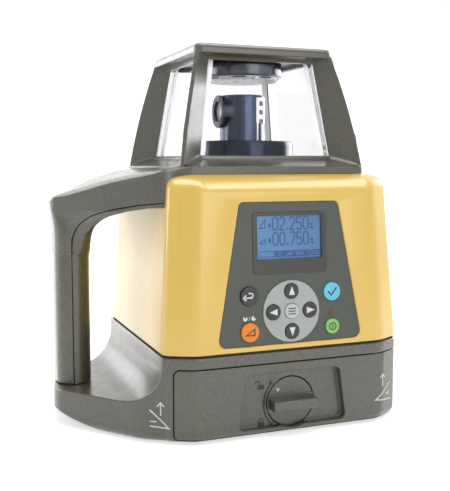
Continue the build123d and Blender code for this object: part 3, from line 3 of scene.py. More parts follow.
import bmesh
import bpy
from bpy.props import FloatProperty, FloatVectorProperty, PointerProperty
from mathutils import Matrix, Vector
from mathutils.bvhtree import BVHTree
from mathutils.kdtree import KDTree
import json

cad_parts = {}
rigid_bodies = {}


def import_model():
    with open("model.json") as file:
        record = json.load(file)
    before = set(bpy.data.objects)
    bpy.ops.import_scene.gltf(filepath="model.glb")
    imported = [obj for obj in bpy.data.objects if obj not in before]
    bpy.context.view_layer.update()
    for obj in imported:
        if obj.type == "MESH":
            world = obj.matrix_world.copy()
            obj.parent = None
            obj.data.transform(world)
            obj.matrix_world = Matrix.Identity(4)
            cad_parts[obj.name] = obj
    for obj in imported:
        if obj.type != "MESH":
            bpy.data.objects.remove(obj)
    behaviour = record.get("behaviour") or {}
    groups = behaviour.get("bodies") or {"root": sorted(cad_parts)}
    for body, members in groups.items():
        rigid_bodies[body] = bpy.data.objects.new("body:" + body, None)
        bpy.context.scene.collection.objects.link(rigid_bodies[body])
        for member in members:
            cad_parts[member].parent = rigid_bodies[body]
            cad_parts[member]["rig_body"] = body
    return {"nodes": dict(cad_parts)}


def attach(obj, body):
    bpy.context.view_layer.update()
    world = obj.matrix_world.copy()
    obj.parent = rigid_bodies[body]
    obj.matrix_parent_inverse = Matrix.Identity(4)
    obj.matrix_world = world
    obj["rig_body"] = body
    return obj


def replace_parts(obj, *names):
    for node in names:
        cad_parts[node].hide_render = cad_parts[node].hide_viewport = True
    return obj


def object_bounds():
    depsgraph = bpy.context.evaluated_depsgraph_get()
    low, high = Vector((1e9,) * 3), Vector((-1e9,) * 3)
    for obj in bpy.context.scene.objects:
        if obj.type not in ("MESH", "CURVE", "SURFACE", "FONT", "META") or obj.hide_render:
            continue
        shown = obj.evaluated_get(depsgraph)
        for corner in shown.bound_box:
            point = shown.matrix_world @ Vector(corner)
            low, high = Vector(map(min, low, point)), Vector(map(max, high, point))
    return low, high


bl_info = {
    "name": "Dual Grade Laser",
    "version": (1, 0, 0),
    "blender": (4, 5, 0),
    "location": "View3D > Sidebar > Grade Laser",
    "description": "Dresses the packed grade laser: shell, housings, keypad, display, lantern and drive",
    "category": "Object",
}

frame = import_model()
CAD_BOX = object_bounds()
MM = 0.001

# Places on the object, in millimetres, shared with the part's own frame
SEAM_Z = 54.0
LEAN = 0.062
FRONT_Y = -85.7
POCKET_Y = -80.5
KNOB_X = 1.2
KNOB_Z = 19.3
BREAK_Z = 156.0
SHOULDER_Z = 165.5
LANTERN_Y = 6.0
PANE_Z = (176.3, 243.4)
PANE_HALF = (47.9, 38.2)
PANE_T = 2.5
PANE_GAP = 0.3
SILL_Z = (170.5, 176.2)
SILL_HALF = (65.6, 49.6)
TURRET_R = 16.0
TURRET_Z = 220.2
BARREL_FACE_X = -18.8
BARREL_Z = 208.8
COVER_R = 25.5
LEAN_COS = math.cos(math.atan(LEAN))
LEAN_SIN = math.sin(math.atan(LEAN))
KEY_FACE = 0.6
FIN_HALF = 1.3
PANE_EDGE = 0.25

# The yellow shell: half width and rear face at the seam, cut and rounding of the corners, roof and foot
WALL_HALF = 83.2
WALL_REAR = 81.7
CORNER_CUT = (18.0, 9.5)
CORNER_ROUND = (20.0, 7.0, 28.0)
ROOF_HALF = (69.5, 66.5)
ROOF_T = 2.0
SWELL_X = 44.0
SWELL_RUN = 22.0
SHELL_FOOT = 55.4
ROOF_START = math.asin(0.16)
CORNER_STEPS = 12
WALL_STEPS = 6
ROOF_STEPS = 10

# The lip of the roof's opening, and the opening for the keypad with the depth of its cutter
LIP_HALF = 58.5
LIP_CUT = (5.0, 5.0)
LIP_ROUND = (4.0, 4.0, 8.0)
OPENING = [(-50.5, 58.7, 5), (50.5, 58.7, 5), (34.3, 148.6, 3.5), (-34.3, 148.6, 3.5)]
CUT_DEPTH = 8.0

# Thin layers: where each starts and ends, out of the face that it lies on
KEY_SIGN = (KEY_FACE - 0.05, KEY_FACE + 0.07)
PLATE_MARK = (-0.95, -0.83)
INK = (-2.69, -2.60)
BAND = (-2.69, -2.62)
BAND_SIGN = (-2.62, -2.58)
SLOPE_MARK = (-0.35, 0.16)
DOOR_SIGN = (-0.1, 0.22)
LABEL = (-0.1, 0.12)

# Marks on the base: width of their lines, the arrow's head, radius and turns of the lock's arc
MARK_LINE = 0.8
ARROW_HEAD = (2.3, 2.6)
LOCK_ARC = 18.9
LOCK_TURNS = (136, 226)

# Strips of a label on a round wall, in degrees, and the sharpest mitre of a printed line
STRIP = 4.0
MITRE = 0.35

# Rounding of the moulded edges: points that are one, angles that count as flat and as sharp, twice the area
# in square metres from which a triangle counts as turned over, reach and span of a fold in edge widths, tries
WELD = 2e-6
FLAT_ANGLE = 0.6
SHARP_ANGLE = 28.0
FOLD_AREA = 2e-6
FOLD_REACH = 1.5
FOLD_SPAN = 2.0
EASE_TRIES = 8

# Finishes: scales of the uneven tone and gloss, the noise that counts, swing of the gloss, depth of the grain
TONE_SCALE = 60.0
GLOSS_SCALE = 140.0
NOISE_SPAN = (0.3, 0.7)
ROUGH_SWING = 0.05
GRAIN_DEPTH = 0.0002

# The display's glow: how far it clouds, and where it fades across the width, in metres
GLOW_CLOUD = 0.012
GLOW_SPAN = (-0.018, 0.030)

# The studio, in metres: floor, bend and back wall, the floor's glow, the sky's light, the lamps' aim, camera
FLOOR_GAP = 0.0004
FLOOR_FRONT = -3.0
FLOOR_HALF = 4.0
BEND_Y = 1.2
BEND_R = 0.6
BACK_TOP = 2.4
FLOOR_GLOW = 0.58
SKY = (0.30, 1.0)
AIM = Vector((0.0, 0.0, 0.11))
CAMERA_PLACE = (-0.2170, -0.52855, 0.1723)
CAMERA_TURN = math.radians(21.10)
CAMERA_DIP = math.radians(5.94)

made = {}


def linear(red, green, blue):
    """A screen colour from 0 to 255 as the linear colour that Blender's sockets take."""
    return tuple(
        v / 12.92 if v <= 0.04045 else ((v + 0.055) / 1.055) ** 2.4
        for v in (c / 255 for c in (red, green, blue))
    )


def colour_prop(name, description, red, green, blue):
    return FloatVectorProperty(
        name=name, description=description, subtype="COLOR", size=3, min=0.0, max=1.0,
        default=linear(red, green, blue),
    )


def length_prop(name, description, millimetres):
    return FloatProperty(
        name=name, description=description, default=millimetres * MM, min=0.0, subtype="DISTANCE",
        unit="LENGTH",
    )


def number_prop(name, description, value, unit="NONE"):
    return FloatProperty(name=name, description=description, default=value, unit=unit)


class ShellSettings(bpy.types.PropertyGroup):
    """Sizes and colour of the yellow body shell"""

    colour: colour_prop("Colour", "Moulded colour of the body shell", 240, 200, 90)
    wall: length_prop("Wall", "Thickness of the shell's wall", 2.6)
    shoulder_round: length_prop("Shoulder round", "How far the shoulder bend runs down the wall", 2.5)
    panel_edge: length_prop("Panel edge", "Rounding of the edge round the keypad", 0.9)


class HousingSettings(bpy.types.PropertyGroup):
    """Finish of the grey moulded housings"""

    colour: colour_prop("Colour", "Moulded colour of the base, arm and lantern cage", 80, 78, 64)
    edge: length_prop("Edge", "Rounding of the moulded edges", 0.6)
    base_edge: length_prop("Base edge", "Rounding of the edges of the base", 1.0)
    mark: colour_prop("Mark", "Paint of the slope marks on the base", 226, 226, 222)
    sign: colour_prop("Sign", "Raised signs of the lock", 46, 45, 40)


class KeypadSettings(bpy.types.PropertyGroup):
    """Colours of the keypad"""

    plate: colour_prop("Plate", "Keypad plate", 80, 84, 77)
    frame: colour_prop("Frame", "Frame round the display", 62, 61, 58)
    ring: colour_prop("Ring", "Ring behind the arrow keys", 180, 186, 184)
    menu: colour_prop("Menu", "Middle key", 204, 209, 208)
    dark: colour_prop("Dark keys", "Arrow keys and back key", 50, 50, 50)
    enter: colour_prop("Enter", "Confirm key", 112, 207, 238)
    axis: colour_prop("Axis", "Axis key", 250, 142, 36)
    power: colour_prop("Power", "Power key", 142, 205, 112)
    lamp: colour_prop("Lamp", "Status lamp", 120, 12, 16)
    glyph: colour_prop("Glyph", "Pale signs on the keys", 236, 236, 232)


class DisplaySettings(bpy.types.PropertyGroup):
    """What the display shows"""

    backlight: colour_prop("Backlight", "Lit ground of the display", 88, 136, 182)
    ink: colour_prop("Ink", "Dark figures of the display", 52, 84, 136)
    band: colour_prop("Band", "Status band of the display", 44, 76, 140)
    upper: number_prop("Upper reading", "Grade shown in the upper row, in percent", 2.25)
    lower: number_prop("Lower reading", "Grade shown in the lower row, in percent", 0.75)


class LanternSettings(bpy.types.PropertyGroup):
    """Glass and metal of the lantern"""

    glass: colour_prop("Glass", "Tint of the lantern panes", 244, 244, 245)
    # The metal colour also paints the shade in the receiver cover's slots.
    metal: colour_prop("Metal", "Dark anodised metal of the barrel", 16, 22, 48)
    # The turret, shroud and drum carry stretched specks: streaks of random tone, partly a drawn finish and
    # partly painted reflection streaks.
    turret: colour_prop("Turret", "Drawn metal of the turret", 70, 84, 110)
    shroud: colour_prop("Shroud", "Drawn metal of the lantern floor", 18, 32, 56)
    drum: colour_prop("Drum", "Drawn metal of the receiver drum", 92, 94, 102)
    cover: colour_prop("Cover", "Receiver cover under the cap", 176, 180, 184)


class StageSettings(bpy.types.PropertyGroup):
    """Camera and light"""

    lens: number_prop("Lens", "Focal length of the camera in millimetres", 57.70)
    floor: colour_prop("Floor", "Floor and backdrop", 250, 250, 250)
    left_watts: number_prop("Left", "Power of the lamp behind on the left", 5.0, "POWER")
    edge_watts: number_prop("Edge", "Power of the lamp beside the handle", 3.0, "POWER")
    right_watts: number_prop("Right", "Power of the lamp behind on the right", 9.5, "POWER")
    top_watts: number_prop("Top", "Power of the lamp overhead", 14.0, "POWER")
    fill_watts: number_prop("Fill", "Power of the lamp in front", 5.0, "POWER")


class LaserSettings(bpy.types.PropertyGroup):
    """All settings of the grade laser"""

    shell: PointerProperty(type=ShellSettings)
    housing: PointerProperty(type=HousingSettings)
    keypad: PointerProperty(type=KeypadSettings)
    display: PointerProperty(type=DisplaySettings)
    lantern: PointerProperty(type=LanternSettings)
    stage: PointerProperty(type=StageSettings)


def settings():
    return bpy.context.scene.grade_laser


# Finishes


class Graph:
    """The nodes of a finish or of the sky."""

    def __init__(self, owner):
        owner.use_nodes = True
        self.owner, self.tree = owner, owner.node_tree
        self.tree.nodes.clear()

    def add(self, kind, sockets=None, **options):
        """A new node with its options, and with a constant or another node's output on each socket."""
        node = self.tree.nodes.new("ShaderNode" + kind)
        for option, value in options.items():
            setattr(node, option, value)
        for socket, value in (sockets or {}).items():
            if isinstance(value, bpy.types.NodeSocket):
                self.tree.links.new(value, node.inputs[socket])
            else:
                node.inputs[socket].default_value = value
        return node

    def close(self, surface, output="OutputMaterial"):
        """Ends the nodes with what the surface is made of."""
        self.add(output, {"Surface": surface})
        return self.owner

    def noise(self, coord, scale, detail, stretch=None):
        if stretch:
            coord = self.add("Mapping", {"Scale": stretch, "Vector": coord}).outputs["Vector"]
        return self.add("TexNoise", {"Scale": scale, "Detail": detail, "Vector": coord}).outputs["Fac"]

    def ramp(self, value, stops):
        node = self.add("ValToRGB", {"Fac": value})
        elements = node.color_ramp.elements
        elements.remove(elements[1])
        elements[0].position, elements[0].color = stops[0]
        for place, colour in stops[1:]:
            elements.new(place).color = colour
        return node.outputs["Color"]

    def spread(self, value, source, target):
        """A value whose one range is drawn out to another."""
        ends = zip(("From Min", "From Max", "To Min", "To Max"), (*source, *target))
        return self.add("MapRange", {"Value": value, **dict(ends)}).outputs["Result"]


def once(build):
    """Makes a finish the first time that it is asked for, and hands out the same one after that."""

    def find(name, *values, **options):
        if name not in made:
            made[name] = build(Graph(bpy.data.materials.new(name)), *values, **options)
        return made[name]

    return find


def shade(colour, by):
    return (*(min(c * by, 1.0) for c in colour), 1.0)


@once
def moulded(graph, colour, rough=0.5, grain=0.3, size=1500.0, mottle=0.06, speck=0.0, metal=0.0, coat=0.0,
            stretch=None, coat_rough=0.12):
    """Moulded or turned surface: fine grain in the normal, uneven tone, and uneven roughness."""
    coord = graph.add("TexCoord").outputs["Object"]
    low, high = NOISE_SPAN
    tone = graph.noise(coord, TONE_SCALE, 3.0)
    tinted = graph.ramp(tone, [(low, shade(colour, 1 - mottle)), (high, shade(colour, 1 + mottle))])
    # Specks darken the colour at random. Stretched, they become streaks, and on the lantern's metal these are
    # partly painted reflection streaks.
    if speck:
        fleck = graph.noise(coord, size * 0.8, 1.0, stretch)
        pale = graph.ramp(fleck, [(low, shade((1, 1, 1), 1 - speck)), (high, (1, 1, 1, 1))])
        sockets = {"Factor": 1.0, 6: tinted, 7: pale}
        tinted = graph.add("Mix", sockets, data_type="RGBA", blend_type="MULTIPLY").outputs[2]
    patch = graph.noise(coord, GLOSS_SCALE, 2.0)
    gloss = graph.spread(patch, NOISE_SPAN, (rough - ROUGH_SWING, rough + ROUGH_SWING))
    sockets = {"Base Color": tinted, "Roughness": gloss, "Metallic": metal, "Coat Weight": coat,
               "Coat Roughness": coat_rough}
    if grain:
        height = graph.noise(coord, size, 2.0, stretch)
        bump = graph.add("Bump", {"Strength": grain, "Distance": GRAIN_DEPTH, "Height": height})
        sockets["Normal"] = bump.outputs["Normal"]
    return graph.close(graph.add("BsdfPrincipled", sockets).outputs["BSDF"])


@once
def glass(graph, tint, ior=1.45):
    """Clear pane that lets the lamps through to what stands behind it."""
    sockets = {"Base Color": (*tint, 1.0), "Roughness": 0.0, "IOR": ior, "Transmission Weight": 1.0}
    pane = graph.add("BsdfPrincipled", sockets).outputs["BSDF"]
    clear = graph.add("BsdfTransparent").outputs["BSDF"]
    shadow = graph.add("LightPath").outputs["Is Shadow Ray"]
    return graph.close(graph.add("MixShader", {"Fac": shadow, 1: pane, 2: clear}).outputs["Shader"])


@once
def lit(graph, colour, near=1.0, far=1.0):
    """Backlit layer of the display: its glow fades across the width, and is a little uneven."""
    coord = graph.add("TexCoord").outputs["Object"]
    side = graph.add("SeparateXYZ", {"Vector": coord}).outputs["X"]
    cloud = {0: graph.noise(coord, TONE_SCALE, 2.0), 1: GLOW_CLOUD, 2: side}
    across = graph.add("Math", cloud, operation="MULTIPLY_ADD").outputs["Value"]
    fade = graph.spread(across, GLOW_SPAN, (0.0, 1.0))
    sockets = {"Emission Strength": 0.4, "Roughness": 0.4}
    for socket, level in (("Base Color", 0.4), ("Emission Color", 1.0)):
        stops = [(0.0, shade(colour, near * level)), (1.0, shade(colour, far * level))]
        sockets[socket] = graph.ramp(fade, stops)
    return graph.close(graph.add("BsdfPrincipled", sockets).outputs["BSDF"])


# Shapes


def new_object(bm, name, mat):
    """An object in the scene that takes over a mesh in the making."""
    mesh = bpy.data.meshes.new(name)
    bm.to_mesh(mesh)
    bm.free()
    mesh.materials.append(mat)
    piece = bpy.data.objects.new(name, mesh)
    bpy.context.scene.collection.objects.link(piece)
    return piece


def finish_mesh(bm, name, mat, body, angle=35.0, smooth=True):
    """Closes a mesh in the making, shades it and sets it on its body."""
    bmesh.ops.recalc_face_normals(bm, faces=bm.faces)
    piece = new_object(bm, name, mat)
    if smooth:
        piece.data.shade_smooth()
        piece.data.set_sharp_from_angle(angle=math.radians(angle))
    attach(piece, body)
    return piece


def baked(piece):
    """Puts a piece's modifiers into its mesh."""
    graph = bpy.context.evaluated_depsgraph_get()
    mesh = bpy.data.meshes.new_from_object(piece.evaluated_get(graph))
    piece.modifiers.clear()
    piece.data = mesh
    return piece


def dress(nodes, mat):
    """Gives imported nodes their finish; a space parts their names."""
    for node in nodes.split():
        slots = frame["nodes"][node].material_slots
        for slot in slots:
            slot.material = mat
        if not slots:
            frame["nodes"][node].data.materials.append(mat)


def mould(nodes, name, colour, **look):
    """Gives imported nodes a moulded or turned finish."""
    dress(nodes, moulded(name, colour, **look))


def folds(bm, tree, edge):
    """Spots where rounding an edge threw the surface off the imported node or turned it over."""
    spots = []
    for corners in bm.calc_loop_triangles():
        a, b, c = (corner.vert.co for corner in corners)
        across = (b - a).cross(c - a)
        near = tree.find_nearest_range((a + b + c) / 3, FOLD_REACH * edge)
        if not near or (across.length > FOLD_AREA and max(across.dot(hit[1]) for hit in near) < 0):
            spots += [spot.copy() for spot in (a, b, c) if tree.find_nearest(spot)[3] < FOLD_SPAN * edge]
    return spots


def eased(node, mat, edge):
    """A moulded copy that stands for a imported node, with its edges rounded where they have room."""
    source = frame["nodes"][node]
    plain = bmesh.new()
    plain.from_mesh(source.data)
    bmesh.ops.remove_doubles(plain, verts=plain.verts, dist=WELD)
    bmesh.ops.dissolve_limit(
        plain, angle_limit=math.radians(FLAT_ANGLE), verts=plain.verts, edges=plain.edges,
        use_dissolve_boundaries=False,
    )
    tree = BVHTree.FromBMesh(plain)
    sharp = [
        e.index for e in plain.edges
        if len(e.link_faces) == 2 and e.calc_face_angle(0.0) > math.radians(SHARP_ANGLE)
    ]
    for _ in range(EASE_TRIES):
        bm = plain.copy()
        bm.edges.ensure_lookup_table()
        bmesh.ops.bevel(
            bm, geom=[bm.edges[i] for i in sharp], offset=edge, offset_type="OFFSET", segments=2, profile=0.5,
            affect="EDGES", clamp_overlap=False, miter_outer="SHARP",
        )
        bm.normal_update()
        spots = folds(bm, tree, edge)
        crowd = KDTree(len(spots))
        for i, spot in enumerate(spots):
            crowd.insert(spot, i)
        crowd.balance()
        plain.edges.ensure_lookup_table()
        roomy = []
        for i in sharp:
            start, end = (vert.co for vert in plain.edges[i].verts)
            steps = 1 + int((end - start).length / edge)
            line = [start.lerp(end, k / steps) for k in range(steps + 1)]
            if not spots or min(crowd.find(spot)[2] for spot in line) > FOLD_REACH * edge:
                roomy.append(i)
        if len(roomy) == len(sharp):
            break
        sharp = roomy
    plain.free()
    piece = finish_mesh(bm, node + "_moulded", mat, source["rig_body"])
    flats = piece.modifiers.new("flats", "WEIGHTED_NORMAL")
    flats.keep_sharp = True
    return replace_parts(baked(piece), node)


def arc_corners(corners, steps):
    """A closed outline whose corners (x, y, radius) are rounded, with the same count of points for each."""
    points = []
    count = len(corners)
    for i, (x, y, radius) in enumerate(corners):
        here = Vector((x, y))
        back = (Vector(corners[i - 1][:2]) - here).normalized()
        ahead = (Vector(corners[(i + 1) % count][:2]) - here).normalized()
        half = back.angle(ahead) / 2
        centre = here + (back + ahead).normalized() * radius / math.sin(half)
        start = here + back * radius / math.tan(half) - centre
        sweep = math.pi - 2 * half
        side = 1 if back.y * ahead.x - back.x * ahead.y > 0 else -1
        for k in range(steps + 1):
            a = side * sweep * k / steps
            points.append(centre + Vector((
                start.x * math.cos(a) - start.y * math.sin(a), start.x * math.sin(a) + start.y * math.cos(a)
            )))
    return points


def skin(bm, loops, joined=False):
    """Quads between loops of points, with a face over each end, or with the last loop joined to the first."""
    rings = [[bm.verts.new(p) for p in loop] for loop in loops]
    pairs = list(zip(rings, rings[1:]))
    if joined:
        pairs.append((rings[-1], rings[0]))
    for low, high in pairs:
        for i in range(len(low)):
            j = (i + 1) % len(low)
            bm.faces.new((low[i], low[j], high[j], high[i]))
    if not joined:
        bm.faces.new(list(reversed(rings[0])))
        bm.faces.new(rings[-1])


def polar(turn, radius=1.0):
    """Where a radius ends after a turn, in degrees."""
    a = math.radians(turn)
    return radius * math.cos(a), radius * math.sin(a)


def circle(u, z, radius, steps, start=0.0, end=360.0):
    """Points round a circle, or along an arc of it, in degrees."""
    count = steps if end - start >= 360.0 else steps + 1
    spots = (polar(start + (end - start) * k / steps, radius) for k in range(count))
    return [(u + x, z + y) for x, y in spots]


def box(left, right, low, high):
    """Corners of an upright rectangle."""
    return [(left, low), (right, low), (right, high), (left, high)]


def on_panel(u, z, d):
    """A point on the leaning front: u across, z up, d out of the face, in millimetres."""
    return Vector((u, FRONT_Y + LEAN * (z - SEAM_Z) - LEAN_COS * d, z + LEAN_SIN * d)) * MM


def on_door(u, z, d):
    """A point on the floor of the lock's recess: u across, z up, d out of it, in millimetres."""
    return Vector((u, POCKET_Y - d, z)) * MM


def along_path(path):
    """A place function for an upright wall that follows plan points, from the first one on."""
    spots = [Vector(p) for p in path]

    def place(u, z, d):
        left = u
        for here, there in zip(spots, spots[1:]):
            run = (there - here).length
            if left <= run or there is spots[-1]:
                break
            left -= run
        way = (there - here).normalized()
        return Vector((here.x + way.x * left + way.y * d, here.y + way.y * left - way.x * d, z)) * MM

    return place


def round_wall(radius):
    """A place function for an upright round wall about the spin axis: u is in degrees from +X."""

    def place(u, z, d):
        return Vector((*polar(u, radius + d), z)) * MM

    return place


def closer(points, step):
    """The same line of points with none further apart than a step."""
    line = [Vector(points[0])]
    for p in points[1:]:
        here, there = line[-1], Vector(p)
        count = max(1, math.ceil((there - here).length / step))
        line += [here.lerp(there, (k + 1) / count) for k in range(count)]
    return line


def add_patch(bm, place, left, right, bottom, top, low, high):
    """A thin plate that follows a round wall, cut into strips."""
    count = max(1, math.ceil((right - left) / STRIP))
    us = [left + (right - left) * k / count for k in range(count + 1)]
    add_prism(bm, place, [(u, bottom) for u in us] + [(u, top) for u in reversed(us)], low, high)


def square_ring(half, radius, z):
    """A loop round the lantern: a square with rounded corners."""
    corners = [(x, y, radius) for x, y in box(-half, half, -half, half)]
    return [Vector((p.x, p.y + LANTERN_Y, z)) * MM for p in arc_corners(corners, 5)]


def add_frame(bm, profile):
    """A closed square frame whose section is a list of (half width, corner radius, height)."""
    skin(bm, [square_ring(*spot) for spot in profile], joined=True)


def add_prism(bm, place, outline, low, high):
    """A thin plate with this outline of (u, z) points, from depth low to depth high."""
    skin(bm, [[place(u, z, depth) for u, z in outline] for depth in (low, high)])


def add_stroke(bm, place, points, width, low, high, closed=False):
    """A flat line of that width through (u, z) points."""
    line = [Vector(p) for p in points]
    count = len(line)
    rows = []
    for i, here in enumerate(line):
        back = line[i - 1] if closed or i else None
        ahead = line[(i + 1) % count] if closed or i < count - 1 else None
        first = (here - back).normalized() if back is not None else (ahead - here).normalized()
        second = (ahead - here).normalized() if ahead is not None else first
        normal = Vector((-first.y - second.y, first.x + second.x))
        if normal.length < 1e-6:
            normal = Vector((-first.y, first.x))
        normal.normalize()
        reach = width / 2 / max(MITRE, normal.dot(Vector((-first.y, first.x))))
        left, right = here + normal * reach, here - normal * reach
        corners = ((left, low), (right, low), (right, high), (left, high))
        rows.append([place(p.x, p.y, depth) for p, depth in corners])
    skin(bm, rows, joined=closed)


# Figures of the display, as lines in a cell 1 wide and 2 high
FIGURES = {
    "0": [([(0.25, 0), (0.75, 0), (1, 0.4), (1, 1.6), (0.75, 2), (0.25, 2), (0, 1.6), (0, 0.4)], True)],
    "1": [([(0.15, 1.6), (0.5, 2), (0.5, 0)], False), ([(0.15, 0), (0.85, 0)], False)],
    "2": [([(0, 1.6), (0.25, 2), (0.75, 2), (1, 1.65), (1, 1.25), (0, 0), (1, 0)], False)],
    "3": [([(0, 1.65), (0.25, 2), (0.75, 2), (1, 1.65), (1, 1.3), (0.7, 1.05), (1, 0.8), (1, 0.35), (0.75, 0),
            (0.25, 0), (0, 0.35)], False)],
    "4": [([(0.75, 0), (0.75, 2), (0, 0.6), (1, 0.6)], False)],
    "5": [([(1, 2), (0.08, 2), (0, 1.1), (0.7, 1.15), (1, 0.8), (1, 0.35), (0.75, 0), (0.25, 0),
            (0, 0.3)], False)],
    "6": [([(0.9, 1.9), (0.4, 1.9), (0, 1.3), (0, 0.4), (0.25, 0), (0.75, 0), (1, 0.4), (1, 0.8), (0.75, 1.1),
            (0.02, 1.0)], False)],
    "7": [([(0, 2), (1, 2), (1, 1.7), (0.4, 0)], False)],
    "8": [([(0.25, 1.05), (0, 0.75), (0, 0.35), (0.25, 0), (0.75, 0), (1, 0.35), (1, 0.75),
            (0.75, 1.05)], True),
          ([(0.25, 1.05), (0, 1.3), (0, 1.7), (0.25, 2), (0.75, 2), (1, 1.7), (1, 1.3), (0.75, 1.05)], True)],
    "9": [([(0.1, 0.1), (0.6, 0.1), (1, 0.7), (1, 1.6), (0.75, 2), (0.25, 2), (0, 1.6), (0, 1.2), (0.25, 0.9),
            (0.98, 1.0)], False)],
    "+": [([(0.1, 0.8), (0.9, 0.8)], False), ([(0.5, 0.4), (0.5, 1.2)], False)],
    "-": [([(0.1, 0.8), (0.9, 0.8)], False)],
    ".": [([(0.1, 0.14), (0.9, 0.14)], False)],
    "%": [([(0.1, 0), (0.9, 1.2)], False), (circle(0.2, 1.0, 0.17, 8), True),
          (circle(0.8, 0.2, 0.17, 8), True)],
}

# Width, height and weight of the signs against the figures
SIGNS = {".": (0.45, 1.0, 1.35), "+": (0.75, 1.0, 1.35), "-": (0.75, 1.0, 1.0), "%": (0.7, 0.8, 0.7)}


class StageOperator(bpy.types.Operator):
    """Sets up the floor, the lamps and the camera"""

    bl_idname = "grade_laser.stage"
    bl_label = "Stage"

    def seen(self, graph):
        """One for what the camera sees, straight or by way of gloss and glass, and nought for other light."""
        path = graph.add("LightPath")
        value = path.outputs["Is Camera Ray"]
        for ray in ("Is Glossy Ray", "Is Transmission Ray"):
            value = graph.add("Math", {0: value, 1: path.outputs[ray]}, operation="MAXIMUM").outputs["Value"]
        return value

    def stand(self, name, data, place, ahead):
        """Puts a lamp or the camera at its place, facing that way."""
        thing = bpy.data.objects.new(name, data)
        thing.location = place
        thing.rotation_mode = "QUATERNION"
        thing.rotation_quaternion = ahead.to_track_quat("-Z", "Y")
        bpy.context.scene.collection.objects.link(thing)
        return thing

    def execute(self, context):
        look = settings().stage
        scene = context.scene
        scene.view_settings.view_transform = "Standard"
        graph = Graph(bpy.data.materials.new("studio_floor"))
        pale = (*look.floor, 1.0)
        matt = graph.add("BsdfDiffuse", {"Color": pale}).outputs["BSDF"]
        part = graph.add("Math", {0: self.seen(graph), 1: FLOOR_GLOW}, operation="MULTIPLY").outputs["Value"]
        glow = graph.add("Emission", {"Color": pale, "Strength": part}).outputs["Emission"]
        mat = graph.close(graph.add("AddShader", {0: matt, 1: glow}).outputs["Shader"])
        bm = bmesh.new()
        low = CAD_BOX[0].z - FLOOR_GAP
        profile = [(FLOOR_FRONT, low), (BEND_Y, low)]
        for k in range(1, 7):
            drop, rise = polar(15 * k, BEND_R)
            profile.append((BEND_Y + rise, low + BEND_R - drop))
        profile.append((BEND_Y + BEND_R, BACK_TOP))
        rows = [[bm.verts.new((x, y, z)) for x in (-FLOOR_HALF, FLOOR_HALF)] for y, z in profile]
        for a, b in zip(rows, rows[1:]):
            bm.faces.new((a[0], a[1], b[1], b[0]))
        floor = new_object(bm, "studio_floor", mat)
        floor.data.shade_smooth()
        graph = Graph(bpy.data.worlds.new("studio"))
        level = graph.spread(self.seen(graph), (0.0, 1.0), SKY)
        sky = graph.add("Background", {"Color": (1.0, 1.0, 1.0, 1.0), "Strength": level})
        scene.world = graph.close(sky.outputs["Background"], "OutputWorld")
        lamps = (
            ("lamp_left", (-0.70, 1.10, 0.55), 0.9, look.left_watts),
            ("lamp_edge", (-1.2, 0.48, 0.35), 0.5, look.edge_watts),
            ("lamp_right", (1.2, 0.45, 0.42), 0.9, look.right_watts),
            ("lamp_top", (0.1, 0.0, 1.5), 1.2, look.top_watts),
            ("lamp_front", (0.25, -1.5, 0.5), 1.0, look.fill_watts),
        )
        for name, place, size, watts in lamps:
            data = bpy.data.lights.new(name, "AREA")
            data.shape = "DISK"
            data.size = size
            data.energy = watts
            self.stand(name, data, place, AIM - Vector(place))
        data = bpy.data.cameras.new("camera")
        data.lens = look.lens
        along = math.cos(CAMERA_DIP)
        ahead = Vector((math.sin(CAMERA_TURN) * along, math.cos(CAMERA_TURN) * along, -math.sin(CAMERA_DIP)))
        scene.camera = self.stand("camera", data, CAMERA_PLACE, ahead)
        return {"FINISHED"}


